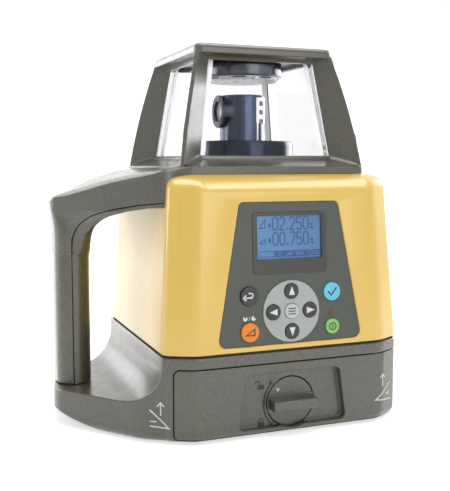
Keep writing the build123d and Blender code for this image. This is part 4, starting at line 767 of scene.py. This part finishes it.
class ShellOperator(bpy.types.Operator):
    """Moulds the yellow body shell with its rounded shoulder and the opening for the keypad"""

    bl_idname = "grade_laser.shell"
    bl_label = "Body Shell"

    def outline(self, half, front, rear, cut_x, cut_y, r_front, r_side, r_rear):
        return arc_corners([
            (-half + cut_x, front, r_front), (half - cut_x, front, r_front), (half, front + cut_y, r_side),
            (half, rear, r_rear), (-half, rear, r_rear), (-half, front + cut_y, r_side),
        ], CORNER_STEPS)

    def wall_at(self, z, grow):
        """A loop of the leaning wall."""
        lean = LEAN * (z - SEAM_Z)
        ring = self.outline(
            WALL_HALF - lean + grow, FRONT_Y + lean - grow, WALL_REAR - lean + grow,
            *CORNER_CUT, *(radius + grow for radius in CORNER_ROUND),
        )
        return [Vector((p.x, p.y, z)) for p in ring]

    def roof_at(self, turn, grow, drop):
        """A loop of the roof: the sides swell up through a quarter turn while the front slopes back."""
        rise, inset = math.sin(turn), 1 - math.cos(turn)
        lean = LEAN * (BREAK_Z - SEAM_Z)
        front, rear = FRONT_Y + lean, WALL_REAR - lean
        r_front, r_side, r_rear = CORNER_ROUND
        sloped, swollen = (
            self.outline(
                WALL_HALF - lean + (ROOF_HALF[0] - WALL_HALF + lean) * inset + grow,
                front + (LANTERN_Y - ROOF_HALF[1] - front) * back - grow,
                rear + (LANTERN_Y + ROOF_HALF[1] - rear) * inset + grow,
                CORNER_CUT[0] * (1 - 0.3 * back), CORNER_CUT[1] * (1 - 0.3 * back),
                r_front * (1 - 0.4 * back) + grow, r_side * (1 - 0.2 * back) + grow,
                r_rear * (1 - 0.6 * inset) + grow,
            )
            for back in (rise, inset)
        )
        ring = []
        for flat, full in zip(sloped, swollen):
            share = min(1.0, max(0.0, (abs(flat.x) - SWELL_X) / SWELL_RUN))
            p = flat.lerp(full, share * share * (3 - 2 * share))
            ring.append(Vector((p.x, p.y, BREAK_Z - drop + (SHOULDER_Z - BREAK_Z) * rise)))
        return ring

    def lip_at(self, z):
        """The edge of the roof's opening, under the upper housing."""
        ring = self.outline(LIP_HALF, LANTERN_Y - LIP_HALF, LANTERN_Y + LIP_HALF, *LIP_CUT, *LIP_ROUND)
        return [Vector((p.x, p.y, z)) for p in ring]

    def side_loops(self, foot, grow, drop, bend):
        """Loops from the foot of the wall up over the break and the roof's swell."""
        below = self.wall_at(BREAK_Z - drop - bend, grow)
        crest = self.wall_at(BREAK_Z - drop, grow)
        beyond = self.roof_at(ROOF_START, grow, drop)
        height = BREAK_Z - drop - bend - foot
        loops = [self.wall_at(foot + height * k / WALL_STEPS, grow) for k in range(WALL_STEPS)]
        for k in range(WALL_STEPS + 1):
            t = k / WALL_STEPS
            loops.append([
                b * (1 - t) ** 2 + c * 2 * t * (1 - t) + e * t * t for b, c, e in zip(below, crest, beyond)
            ])
        for k in range(1, ROOF_STEPS + 1):
            turn = ROOF_START + (math.pi / 2 - ROOF_START) * k / ROOF_STEPS
            loops.append(self.roof_at(turn, grow, drop))
        return loops

    def execute(self, context):
        look = settings().shell
        wall = look.wall / MM
        bend = look.shoulder_round / MM
        outer = self.side_loops(SHELL_FOOT, 0.0, 0.0, bend)
        inner = self.side_loops(SHELL_FOOT, -wall, ROOF_T, bend)
        lip = [self.lip_at(SHOULDER_Z), self.lip_at(SHOULDER_Z - ROOF_T)]
        loops = [[p * MM for p in loop] for loop in outer + lip + list(reversed(inner))]
        bm = bmesh.new()
        skin(bm, loops, joined=True)
        yellow = moulded(
            "shell_yellow", look.colour, rough=0.38, grain=0.10, size=1300.0, mottle=0.015, coat=0.9,
            coat_rough=0.18,
        )
        shell = finish_mesh(bm, "body_shell_moulded", yellow, "frame")
        bm = bmesh.new()
        add_prism(bm, on_panel, [(p.x, p.y) for p in arc_corners(OPENING, 8)], -CUT_DEPTH, CUT_DEPTH)
        cutter = finish_mesh(bm, "panel_cutter", yellow, "frame")
        cut = shell.modifiers.new("opening", "BOOLEAN")
        cut.operation = "DIFFERENCE"
        cut.solver = "EXACT"
        cut.object = cutter
        baked(shell)
        bpy.data.objects.remove(cutter)
        edge = shell.modifiers.new("edge", "BEVEL")
        edge.width = look.panel_edge
        edge.segments = 3
        edge.limit_method = "ANGLE"
        edge.angle_limit = math.radians(50)
        edge.use_clamp_overlap = False
        baked(shell)
        shell.data.shade_smooth()
        shell.data.set_sharp_from_angle(angle=math.radians(40))
        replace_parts(shell, "body_shell")
        bm = bmesh.new()
        foot, head = Vector((-74.75, -80.05, 58.0)), Vector((-70.2, -74.0, 150.0))
        across, out = Vector((0.884, -0.467, 0.0)) * 0.25, Vector((-0.465, -0.881, 0.083))
        section = ((-1, -0.1), (-0.4, 0.14), (0.4, 0.14), (1, -0.1))
        skin(bm, [[(end + across * u + out * d) * MM for u, d in section] for end in (foot, head)])
        finish_mesh(bm, "mould_line", yellow, "frame")
        return {"FINISHED"}


class HousingOperator(bpy.types.Operator):
    """Moulds the grey base, arm, grip, cage, battery tray and knob, and finishes the gasket and the tongue"""

    bl_idname = "grade_laser.housings"
    bl_label = "Housings"

    def execute(self, context):
        look = settings().housing
        grey = moulded(
            "housing_grey", look.colour, rough=0.42, grain=0.5, size=1000.0, mottle=0.04, speck=0.42,
            coat=1.0, coat_rough=0.22,
        )
        eased("base_housing", grey, look.base_edge)
        for node in ("upper_housing", "grip_inner", "lantern_cage", "battery_tray", "lock_knob"):
            eased(node, grey, look.edge)
        mould("body_gasket", "seal_rubber", linear(14, 14, 14), rough=0.75, grain=0.2, size=900.0)
        mould("lock_tongue", "tongue_steel", linear(150, 150, 152), rough=0.35, grain=0.1, metal=1.0)
        return {"FINISHED"}


class KeypadOperator(bpy.types.Operator):
    """Finishes the keypad plate, the display frame, the keys and the status lamp"""

    bl_idname = "grade_laser.keypad"
    bl_label = "Keypad"

    def execute(self, context):
        look = settings().keypad
        mould("panel_plate", "panel_film", look.plate, rough=0.45, grain=0.22, size=1700.0, mottle=0.02)
        mould("display_frame", "display_frame", look.frame, rough=0.35, grain=0.06, mottle=0.02)
        mould("arrow_ring", "arrow_ring", look.ring, rough=0.42, grain=0.10, size=1700.0, mottle=0.015)
        mould("key_menu", "menu_key", look.menu, rough=0.38, grain=0.06, mottle=0.015)
        arrows = "key_back key_up key_down key_left key_right"
        mould(arrows, "dark_key", look.dark, rough=0.32, grain=0.05, mottle=0.03)
        for key, colour in (("enter", look.enter), ("axis", look.axis), ("power", look.power)):
            mould("key_" + key, key + "_key", colour, rough=0.36, grain=0.05, mottle=0.015)
        mould("status_lamp", "lamp_red", look.lamp, rough=0.15, grain=0.0, coat=0.5)
        dress("display_window", glass("display_clear", linear(244, 248, 252), ior=1.1))
        mould("key_membrane", "membrane", linear(60, 62, 64), rough=0.6)
        return {"FINISHED"}


class LanternOperator(bpy.types.Operator):
    """Finishes the panes, the lantern floor, the receiver drum, the turning head and the screws"""

    bl_idname = "grade_laser.lantern"
    bl_label = "Lantern"

    def execute(self, context):
        look = settings().lantern
        clear = glass("lantern_glass", look.glass, ior=1.1)
        turns = (("front", 1, 0), ("right", 0, 1), ("rear", -1, 0), ("left", 0, -1))
        for side, turn_x, turn_y in turns:
            rows = []
            for z, half in zip(PANE_Z, PANE_HALF):
                wide = half - PANE_GAP
                inner = wide - PANE_T
                strip = ((-wide, -half), (wide, -half), (inner, PANE_T - half), (-inner, PANE_T - half))
                rows.append([
                    Vector((x * turn_x - y * turn_y, x * turn_y + y * turn_x + LANTERN_Y, z)) * MM
                    for x, y in strip
                ])
            bm = bmesh.new()
            skin(bm, rows)
            bmesh.ops.bevel(
                bm, geom=bm.edges[:], offset=PANE_EDGE * MM, segments=1, affect="EDGES", offset_type="OFFSET"
            )
            pane = finish_mesh(bm, "pane_" + side, clear, "frame", smooth=False)
            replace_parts(pane, "lantern_panes")
        # Streaks on the lantern's metal: partly a drawn finish, partly painted reflection streaks. The lamps
        # add the real highlights.
        drawn_and_reflection_streaks = {
            "rough": 0.16, "grain": 0.05, "mottle": 0.1, "metal": 0.85, "coat": 0.5,
            "stretch": (1.0, 1.0, 0.02),
        }
        mould("turret", "turret_metal", look.turret, size=230.0, speck=0.9, **drawn_and_reflection_streaks)
        mould("lantern_floor", "shroud_metal", look.shroud, size=150.0, speck=0.8, **drawn_and_reflection_streaks)
        mould("receiver_drum", "drum_metal", look.drum, size=120.0, speck=0.75, **drawn_and_reflection_streaks)
        mould("exit_ring", "exit_black", look.metal, rough=0.45, grain=0.05, coat=0.15)
        mould("receiver_cover", "receiver_cover", look.cover, rough=0.3, grain=0.05, mottle=0.03)
        steel = moulded("screw_steel", linear(176, 176, 178), rough=0.28, grain=0.1, metal=1.0)
        dress("receiver_screws base_screws panel_screws", steel)
        mould("exit_lens", "coated_lens", linear(196, 180, 172), rough=0.1, grain=0.0, coat=1.0)
        dress("prism", glass("optic_glass", linear(214, 226, 236), ior=1.5))
        return {"FINISHED"}


class LanternTrimOperator(bpy.types.Operator):
    """Adds the cap's lip, sill's bead, fin feet, pane seals, index label, exit trim, screws, and dark plates
    painted as the shade in the cover's slots
    """

    bl_idname = "grade_laser.lantern_trim"
    bl_label = "Lantern Trim"

    def fin_feet(self, bm):
        """Hollow fillets where each fin stands on the corner of the sloping sill."""
        fall = (SILL_Z[1] - SILL_Z[0]) / (SILL_HALF[0] - SILL_HALF[1])
        section = [(FIN_HALF, 2.6), (1.75, 1.5), (2.5, 0.7), (3.6, 0.2), (4.6, -0.25), (FIN_HALF, -0.4)]
        for k in range(4):
            out = Vector((*polar(45 + 90 * k), 0))
            for side in (-1, 1):
                across = Vector((-out.y, out.x, 0)) * side
                loops = []
                for reach, size in ((69.4, 1.0), (76.0, 1.0), (83.0, 1.0), (88.6, 0.5)):
                    ridge = SILL_Z[1] - (reach / math.sqrt(2) - SILL_HALF[1]) * fall
                    base = Vector((0, LANTERN_Y, ridge)) + out * reach
                    loops.append([
                        (base + across * (FIN_HALF + (u - FIN_HALF) * size)
                         + Vector((0, 0, h * size - (u - FIN_HALF) * size * fall / math.sqrt(2)))) * MM
                        for u, h in section
                    ])
                skin(bm, loops)

    def execute(self, context):
        look = settings().lantern
        grey = made["housing_grey"]
        bm = bmesh.new()
        add_frame(bm, [
            (47.0, 5, 243.7), (44.6, 4.5, 242.9), (43.2, 4, 241.9), (42.5, 3.5, 240.9), (42.0, 3, 240.3),
            (39.4, 1.5, 240.3), (38.95, 1.2, 240.8), (38.95, 1.2, 243.7),
        ])
        finish_mesh(bm, "cap_lip", grey, "frame")
        bm = bmesh.new()
        add_frame(bm, [
            (52.0, 5, 175.2), (51.2, 4.6, 176.6), (50.4, 4.2, 177.4), (49.4, 3.6, 177.7), (48.5, 3, 177.5),
            (48.2, 2.8, 177.0), (48.2, 2.8, 175.9),
        ])
        finish_mesh(bm, "sill_bead", grey, "frame")
        bm = bmesh.new()
        self.fin_feet(bm)
        finish_mesh(bm, "fin_feet", grey, "frame", angle=50.0)
        bm = bmesh.new()
        corner = ((0.1, 0.1), (2.9, 0.1), (2.6, 0.5), (1.3, 1.3), (0.5, 2.6), (0.1, 2.9))
        ends = ((PANE_Z[0] + 0.2, PANE_HALF[0] - PANE_T), (PANE_Z[1] - 0.2, PANE_HALF[1] - PANE_T))
        for sx, sy in box(-1, 1, -1, 1):
            skin(bm, [
                [Vector((sx * (reach - a), LANTERN_Y + sy * (reach - b), z)) * MM for a, b in corner]
                for z, reach in ends
            ])
        seal = moulded("pane_seal", linear(244, 244, 243), rough=0.3, grain=0.05, mottle=0.01, coat=0.5)
        finish_mesh(bm, "pane_seals", seal, "frame")
        wall = round_wall(TURRET_R)
        bm = bmesh.new()
        add_patch(bm, wall, 286, 336, 200.6, 218.4, *LABEL)
        add_patch(bm, wall, 288, 293, 186.0, 200.6, *LABEL)
        label = moulded("index_white", linear(240, 240, 238), rough=0.4, grain=0.05, mottle=0.02)
        finish_mesh(bm, "index_label", label, "head", smooth=False)
        bm = bmesh.new()
        for low, high in ((212.6, 216.0), (206.6, 210.0), (200.2, 203.6)):
            add_patch(bm, wall, 297, 317, low, high, 0.0, 0.2)
        dark = moulded("index_dark", linear(24, 34, 52), rough=0.4)
        finish_mesh(bm, "index_squares", dark, "head", smooth=False)
        bm = bmesh.new()
        for inner, outer in ((9.9, 10.2), (7.9, 8.3)):
            middle = (inner + outer) / 2
            section = ((inner, 0.05), (inner, -0.3), (middle, -0.42), (outer, -0.3), (outer, 0.05))
            skin(bm, [
                [Vector((BARREL_FACE_X + x, y, z)) * MM for y, z in circle(0, BARREL_Z, radius, 48)]
                for radius, x in section
            ], joined=True)
        trim = moulded("exit_trim", linear(150, 156, 164), rough=0.25, grain=0.05, metal=0.6)
        finish_mesh(bm, "exit_trim", trim, "head")
        bm = bmesh.new()
        section = ((1.0, -0.1), (1.0, 0.25), (0.86, 0.6), (0.5, 0.8), (0.28, 0.82), (0.26, 0.5))
        for x, y, radius in ((6.9, -2.7, 1.5), (1.0, -5.0, 0.8), (-6.0, 6.0, 1.5)):
            skin(bm, [
                [Vector((*spot, TURRET_Z + radius * h)) * MM for spot in circle(x, y, radius * w, 20)]
                for w, h in section
            ])
        finish_mesh(bm, "turret_screws", made["screw_steel"], "head")
        # Dark plates on the receiver cover where its slots are: painted shade of the openings, which are not
        # cut.
        bm = bmesh.new()
        for start in range(8, 360, 45):
            add_patch(bm, round_wall(COVER_R), start, start + 20, 231.0, 231.9, *LABEL)
        slots = moulded("slot_dark", look.metal, rough=0.6)
        finish_mesh(bm, "cover_slot_shade", slots, "frame", smooth=False)
        return {"FINISHED"}


class BaseMarksOperator(bpy.types.Operator):
    """Prints the slope marks and the knob's pointer, and raises the lock's signs on the battery door"""

    bl_idname = "grade_laser.base_marks"
    bl_label = "Base Marks"

    def slope_mark(self, name, place, body, wedge, level, arrow, paint, plus):
        """A wedge with a plus or minus between its sides, and an arrow over it."""
        bm = bmesh.new()
        (u0, u1), z = level
        lines = [wedge, [(u0, z), (u1, z)]]
        if plus:
            middle, reach = (u0 + u1) / 2, abs(u1 - u0) / 2
            lines.append([(middle, z - reach), (middle, z + reach)])
        u, low, high = arrow
        wide, tall = ARROW_HEAD
        lines += [[(u, low), (u, high)], [(u - wide, high - tall), (u, high), (u + wide, high - tall)]]
        for line in lines:
            add_stroke(bm, place, closer(line, MARK_LINE), MARK_LINE, *SLOPE_MARK)
        finish_mesh(bm, name, paint, body, smooth=False)

    def padlock(self, bm, u, z, shut):
        """A padlock sign whose bow is shut or swung aside."""
        add_prism(bm, on_door, box(u - 2.1, u + 2.1, z - 1.9, z + 1.1), *DOOR_SIGN)
        shift = 0.0 if shut else 2.4
        bow = [(u - 1.3 - shift, z + 1.1 if shut else z + 1.8)]
        bow += reversed(circle(u - shift, z + 2.4, 1.3, 8, 0, 180))
        bow.append((u + 1.3 - shift, z + 1.1))
        add_stroke(bm, on_door, bow, 0.6, *DOOR_SIGN)

    def pointer(self, bm, turn, reach, tip, tail, top):
        """A small triangle in line with the knob's middle."""
        out = Vector(polar(turn))
        across = Vector((-out.y, out.x)) * 1.3
        hub = Vector((KNOB_X, KNOB_Z)) + out * reach
        spots = [hub + out * tip, hub + out * tail + across, hub + out * tail - across]
        add_prism(bm, on_door, [tuple(p) for p in spots], DOOR_SIGN[0], top)

    def execute(self, context):
        look = settings().housing
        paint = moulded("mark_paint", look.mark, rough=0.45, grain=0.1, size=1500.0, mottle=0.02)
        left = along_path([
            (-96.5, -66.5), (-92.2, -69.24), (-91.12, -69.98), (-82.48, -75.57), (-81.5, -76.55),
            (-80.5, -77.49), (-79.43, -78.19), (-78.33, -78.77),
        ])
        self.slope_mark(
            "slope_mark_left", left, "frame", [(7.4, 21.2), (20.2, 10.0), (7.6, 10.8)],
            ((7.6, 11.8), 13.8), (14.6, 17.8, 26.0), paint, False,
        )
        right = along_path([
            (57.65, -85.68), (66.04, -84.70), (67.0, -84.48), (67.96, -84.14), (70.25, -83.03),
            (77.51, -79.21), (80.01, -77.83),
        ])
        self.slope_mark(
            "slope_mark_right", right, "tray", [(21.3, 12.8), (4.7, 14.6), (19.7, 24.7)],
            ((15.4, 19.0), 17.5), (10.6, 23.4, 31.8), paint, True,
        )
        raised = moulded("raised_sign", look.sign, rough=0.5, grain=0.3, size=1000.0, mottle=0.04)
        bm = bmesh.new()
        self.padlock(bm, -19.5, 31.0, False)
        self.padlock(bm, -19.5, 6.6, True)
        first, last = LOCK_TURNS
        arc = circle(KNOB_X, KNOB_Z, LOCK_ARC, 23, first, last + 2)
        add_stroke(bm, on_door, arc, 0.9, DOOR_SIGN[0], 0.3)
        for turn in LOCK_TURNS:
            self.pointer(bm, turn, 0.0, 17.6, 20.4, 0.36)
        finish_mesh(bm, "lock_signs", raised, "tray", smooth=False)
        bm = bmesh.new()
        self.pointer(bm, first, 12.4, 1.7, -0.9, 0.16)
        finish_mesh(bm, "lock_pointer", paint, "lock", smooth=False)
        return {"FINISHED"}


class DriveOperator(bpy.types.Operator):
    """Finishes the chassis, gimbal, motors, bearings, boards and cells inside"""

    bl_idname = "grade_laser.drive"
    bl_label = "Drive and Cells"

    def execute(self, context):
        cast, boards = "chassis gimbal_ring spindle_housing", "key_board main_board"
        turned = "spindle bearing_upper bearing_lower lead_screw_x lead_screw_y"
        lathe = {"grain": 0.2, "size": 400.0, "metal": 1.0, "stretch": (0.1, 0.1, 6.0)}
        plain = {"grain": 0.1, "metal": 1.0}
        mould(cast, "cast_alloy", linear(186, 188, 190), rough=0.5, grain=0.4, size=700.0, metal=1.0)
        mould(turned, "turned_steel", linear(190, 190, 192), rough=0.25, **lathe)
        mould("tripod_bush lead_nut_x lead_nut_y", "turned_brass", linear(208, 172, 98), rough=0.28, **lathe)
        mould("spindle_pulley motor_pulley", "pulley_alloy", linear(200, 201, 204), rough=0.34, **plain)
        mould("spin_motor tilt_motor_x tilt_motor_y", "motor_can", linear(140, 141, 146), rough=0.3, **plain)
        mould("cell_contacts", "contact_plate", linear(206, 204, 196), rough=0.25, **plain)
        mould(boards, "coated_board", linear(28, 96, 56), rough=0.4, grain=0.3, size=500.0, mottle=0.2)
        mould("drive_belt", "belt_rubber", linear(22, 22, 22), rough=0.7, grain=0.4, size=900.0)
        mould("laser_module", "module_black", linear(46, 46, 50), rough=0.4, grain=0.2, metal=0.6)
        mould("d_cells", "cell_sleeve", linear(72, 76, 84), rough=0.3, grain=0.05, mottle=0.04, coat=0.2)
        dress("level_vials", glass("vial_glass", linear(198, 226, 150)))
        return {"FINISHED"}


class DisplayOperator(bpy.types.Operator):
    """Lights the display and writes its two grade readings and status band"""

    bl_idname = "grade_laser.display"
    bl_label = "Display"

    def write(self, bm, text, left, base, wide, high, step, width):
        """A row of figures and signs, from its left end and base line on."""
        for mark in text:
            narrow, scale, heavy = SIGNS.get(mark, (1.0, 1.0, 1.0))
            for points, closed in FIGURES[mark]:
                cell = [(left + x * wide * narrow, base + y * high / 2 * scale) for x, y in points]
                add_stroke(bm, on_panel, cell, width * heavy, *INK, closed)
            left += step * max(narrow, 0.5)

    def execute(self, context):
        look = settings().display
        dress("display_module", lit("display_backlight", look.backlight, 1.08, 0.84))
        ink = lit("display_ink", look.ink, 1.05, 0.95)
        rows = (130.9, 121.3)
        bm = bmesh.new()
        for value, base in zip((look.upper, look.lower), rows):
            self.write(bm, "%+07.3f%%" % value, -14.6, base, 3.4, 7.8, 4.75, 0.95)
        for base, tall in zip(rows, (5.4, 2.6)):
            wedge = [(-20.4, base + 1.2), (-16.4, base + 1.2), (-16.4, base + 1.2 + tall)]
            add_stroke(bm, on_panel, wedge, 0.75, *INK, True)
        finish_mesh(bm, "display_figures", ink, "frame", smooth=False)
        bm = bmesh.new()
        add_prism(bm, on_panel, box(-9.8, 22.0, 113.7, 117.7), *BAND)
        add_stroke(bm, on_panel, box(-20.3, -10.2, 114.0, 117.4), 0.45, *INK, True)
        finish_mesh(bm, "display_band", lit("display_band", look.band), "frame", smooth=False)
        bm = bmesh.new()
        add_stroke(bm, on_panel, circle(-6.4, 115.7, 1.1, 12), 0.4, *BAND_SIGN, True)
        for k in range(4):
            left = -2.6 + 1.3 * k
            add_prism(bm, on_panel, box(left, left + 0.8, 114.6, 115.3 + 0.5 * k), *BAND_SIGN)
        self.write(bm, "600", 5.0, 114.6, 1.3, 2.2, 2.0, 0.35)
        add_stroke(bm, on_panel, box(13.4, 16.6, 114.7, 116.7), 0.4, *BAND_SIGN, True)
        add_stroke(bm, on_panel, circle(19.6, 115.7, 1.1, 12), 0.4, *BAND_SIGN, True)
        signs = lit("display_signs", look.backlight)
        finish_mesh(bm, "display_signs", signs, "frame", smooth=False)
        return {"FINISHED"}


class KeyMarksOperator(bpy.types.Operator):
    """Prints the arrows and plain signs on the keys, and the axis marks on the plate"""

    bl_idname = "grade_laser.key_marks"
    bl_label = "Key Marks"

    def sign(self, key, mat, plates=(), strokes=(), width=0.7):
        """A sign on a key, made of plates and of lines of one width."""
        bm = bmesh.new()
        for outline in plates:
            add_prism(bm, on_panel, outline, *KEY_SIGN)
        for points, closed in strokes:
            add_stroke(bm, on_panel, points, width, *KEY_SIGN, closed)
        finish_mesh(bm, key + "_sign", mat, key, smooth=False)

    def execute(self, context):
        look = settings().keypad
        pale = moulded("glyph_pale", look.glyph, rough=0.5, grain=0.05, mottle=0.02)
        dark = moulded("glyph_dark", linear(48, 50, 50), rough=0.5, grain=0.05, mottle=0.04)
        arrows = (
            ("key_up", 0, 92.0, 90), ("key_down", 0, 66.4, 270), ("key_left", -12.8, 79.2, 180),
            ("key_right", 12.8, 79.2, 0),
        )
        for key, u, z, turn in arrows:
            c, s = polar(turn)
            tip = ((-2.5, -2.1), (3.0, 0.0), (-2.5, 2.1))
            arrow = [(u + x * c - y * s, z + x * s + y * c) for x, y in tip]
            self.sign(key, pale, plates=[arrow])
        hook = [(-31.9, 89.3), (-28.2, 89.3)] + circle(-28.2, 90.7, 1.4, 8, -90, 90) + [(-29.8, 92.1)]
        tip = [(-31.4, 91.1), (-33.2, 89.3), (-31.4, 87.5)]
        self.sign("key_back", pale, strokes=[(hook, False), (tip, False)], width=0.8)
        tick = [(25.9, 90.2), (28.1, 87.9), (32.0, 92.6)]
        self.sign("key_enter", dark, strokes=[(tick, False)], width=0.9)
        slope = [(-32.0, 65.8), (-26.0, 65.8), (-26.0, 69.6)]
        self.sign("key_axis", dark, strokes=[(slope, True)], width=0.75)
        bars = [[(-2.6, z), (2.6, z)] for z in (77.5, 79.2, 80.9)]
        self.sign("key_menu", dark, strokes=[(b, False) for b in bars], width=0.6)
        turn_on = [(circle(28.9, 67.5, 2.3, 20), True), ([(28.9, 66.2), (28.9, 68.8)], False)]
        self.sign("key_power", dark, strokes=turn_on)
        bm = bmesh.new()
        for u, start in ((-31.7, 120), (-26.1, 75)):
            pie = [(u, 76.2)] + circle(u, 76.2, 1.5, 14, start, start + 290)
            add_prism(bm, on_panel, pie, *PLATE_MARK)
        add_stroke(bm, on_panel, [(-29.4, 75.0), (-28.4, 77.4)], 0.3, *PLATE_MARK)
        finish_mesh(bm, "axis_marks", pale, "frame", smooth=False)
        return {"FINISHED"}


class DressPanel(bpy.types.Panel):
    """Lists the steps that dress the grade laser"""

    bl_label = "Grade Laser"
    bl_idname = "VIEW3D_PT_grade_laser"
    bl_space_type = "VIEW_3D"
    bl_region_type = "UI"
    bl_category = "Grade Laser"

    def draw(self, context):
        for operator in STEPS:
            self.layout.operator(operator.bl_idname, text=operator.bl_label)
        for group in GROUPS[:-1]:
            name = group.__name__.replace("Settings", "").lower()
            column = self.layout.column()
            column.label(text=name.title())
            for prop in group.__annotations__:
                column.prop(getattr(context.scene.grade_laser, name), prop)


STEPS = (
    StageOperator, ShellOperator, HousingOperator, KeypadOperator, LanternOperator, LanternTrimOperator,
    BaseMarksOperator, DriveOperator, DisplayOperator, KeyMarksOperator,
)
GROUPS = (
    ShellSettings, HousingSettings, KeypadSettings, DisplaySettings, LanternSettings, StageSettings,
    LaserSettings,
)


def register():
    for cls in (*GROUPS, *STEPS, DressPanel):
        bpy.utils.register_class(cls)
    bpy.types.Scene.grade_laser = PointerProperty(type=LaserSettings)


def unregister():
    del bpy.types.Scene.grade_laser
    for cls in (DressPanel, *reversed(STEPS), *reversed(GROUPS)):
        bpy.utils.unregister_class(cls)


def main():
    import json

    register()
    bpy.ops.grade_laser.stage()
    bpy.ops.grade_laser.shell()
    bpy.ops.grade_laser.housings()
    bpy.ops.grade_laser.keypad()
    bpy.ops.grade_laser.lantern()
    bpy.ops.grade_laser.lantern_trim()
    bpy.ops.grade_laser.base_marks()
    bpy.ops.grade_laser.drive()
    bpy.ops.grade_laser.display()
    bpy.ops.grade_laser.key_marks()


if __name__ == "__main__":
    main()
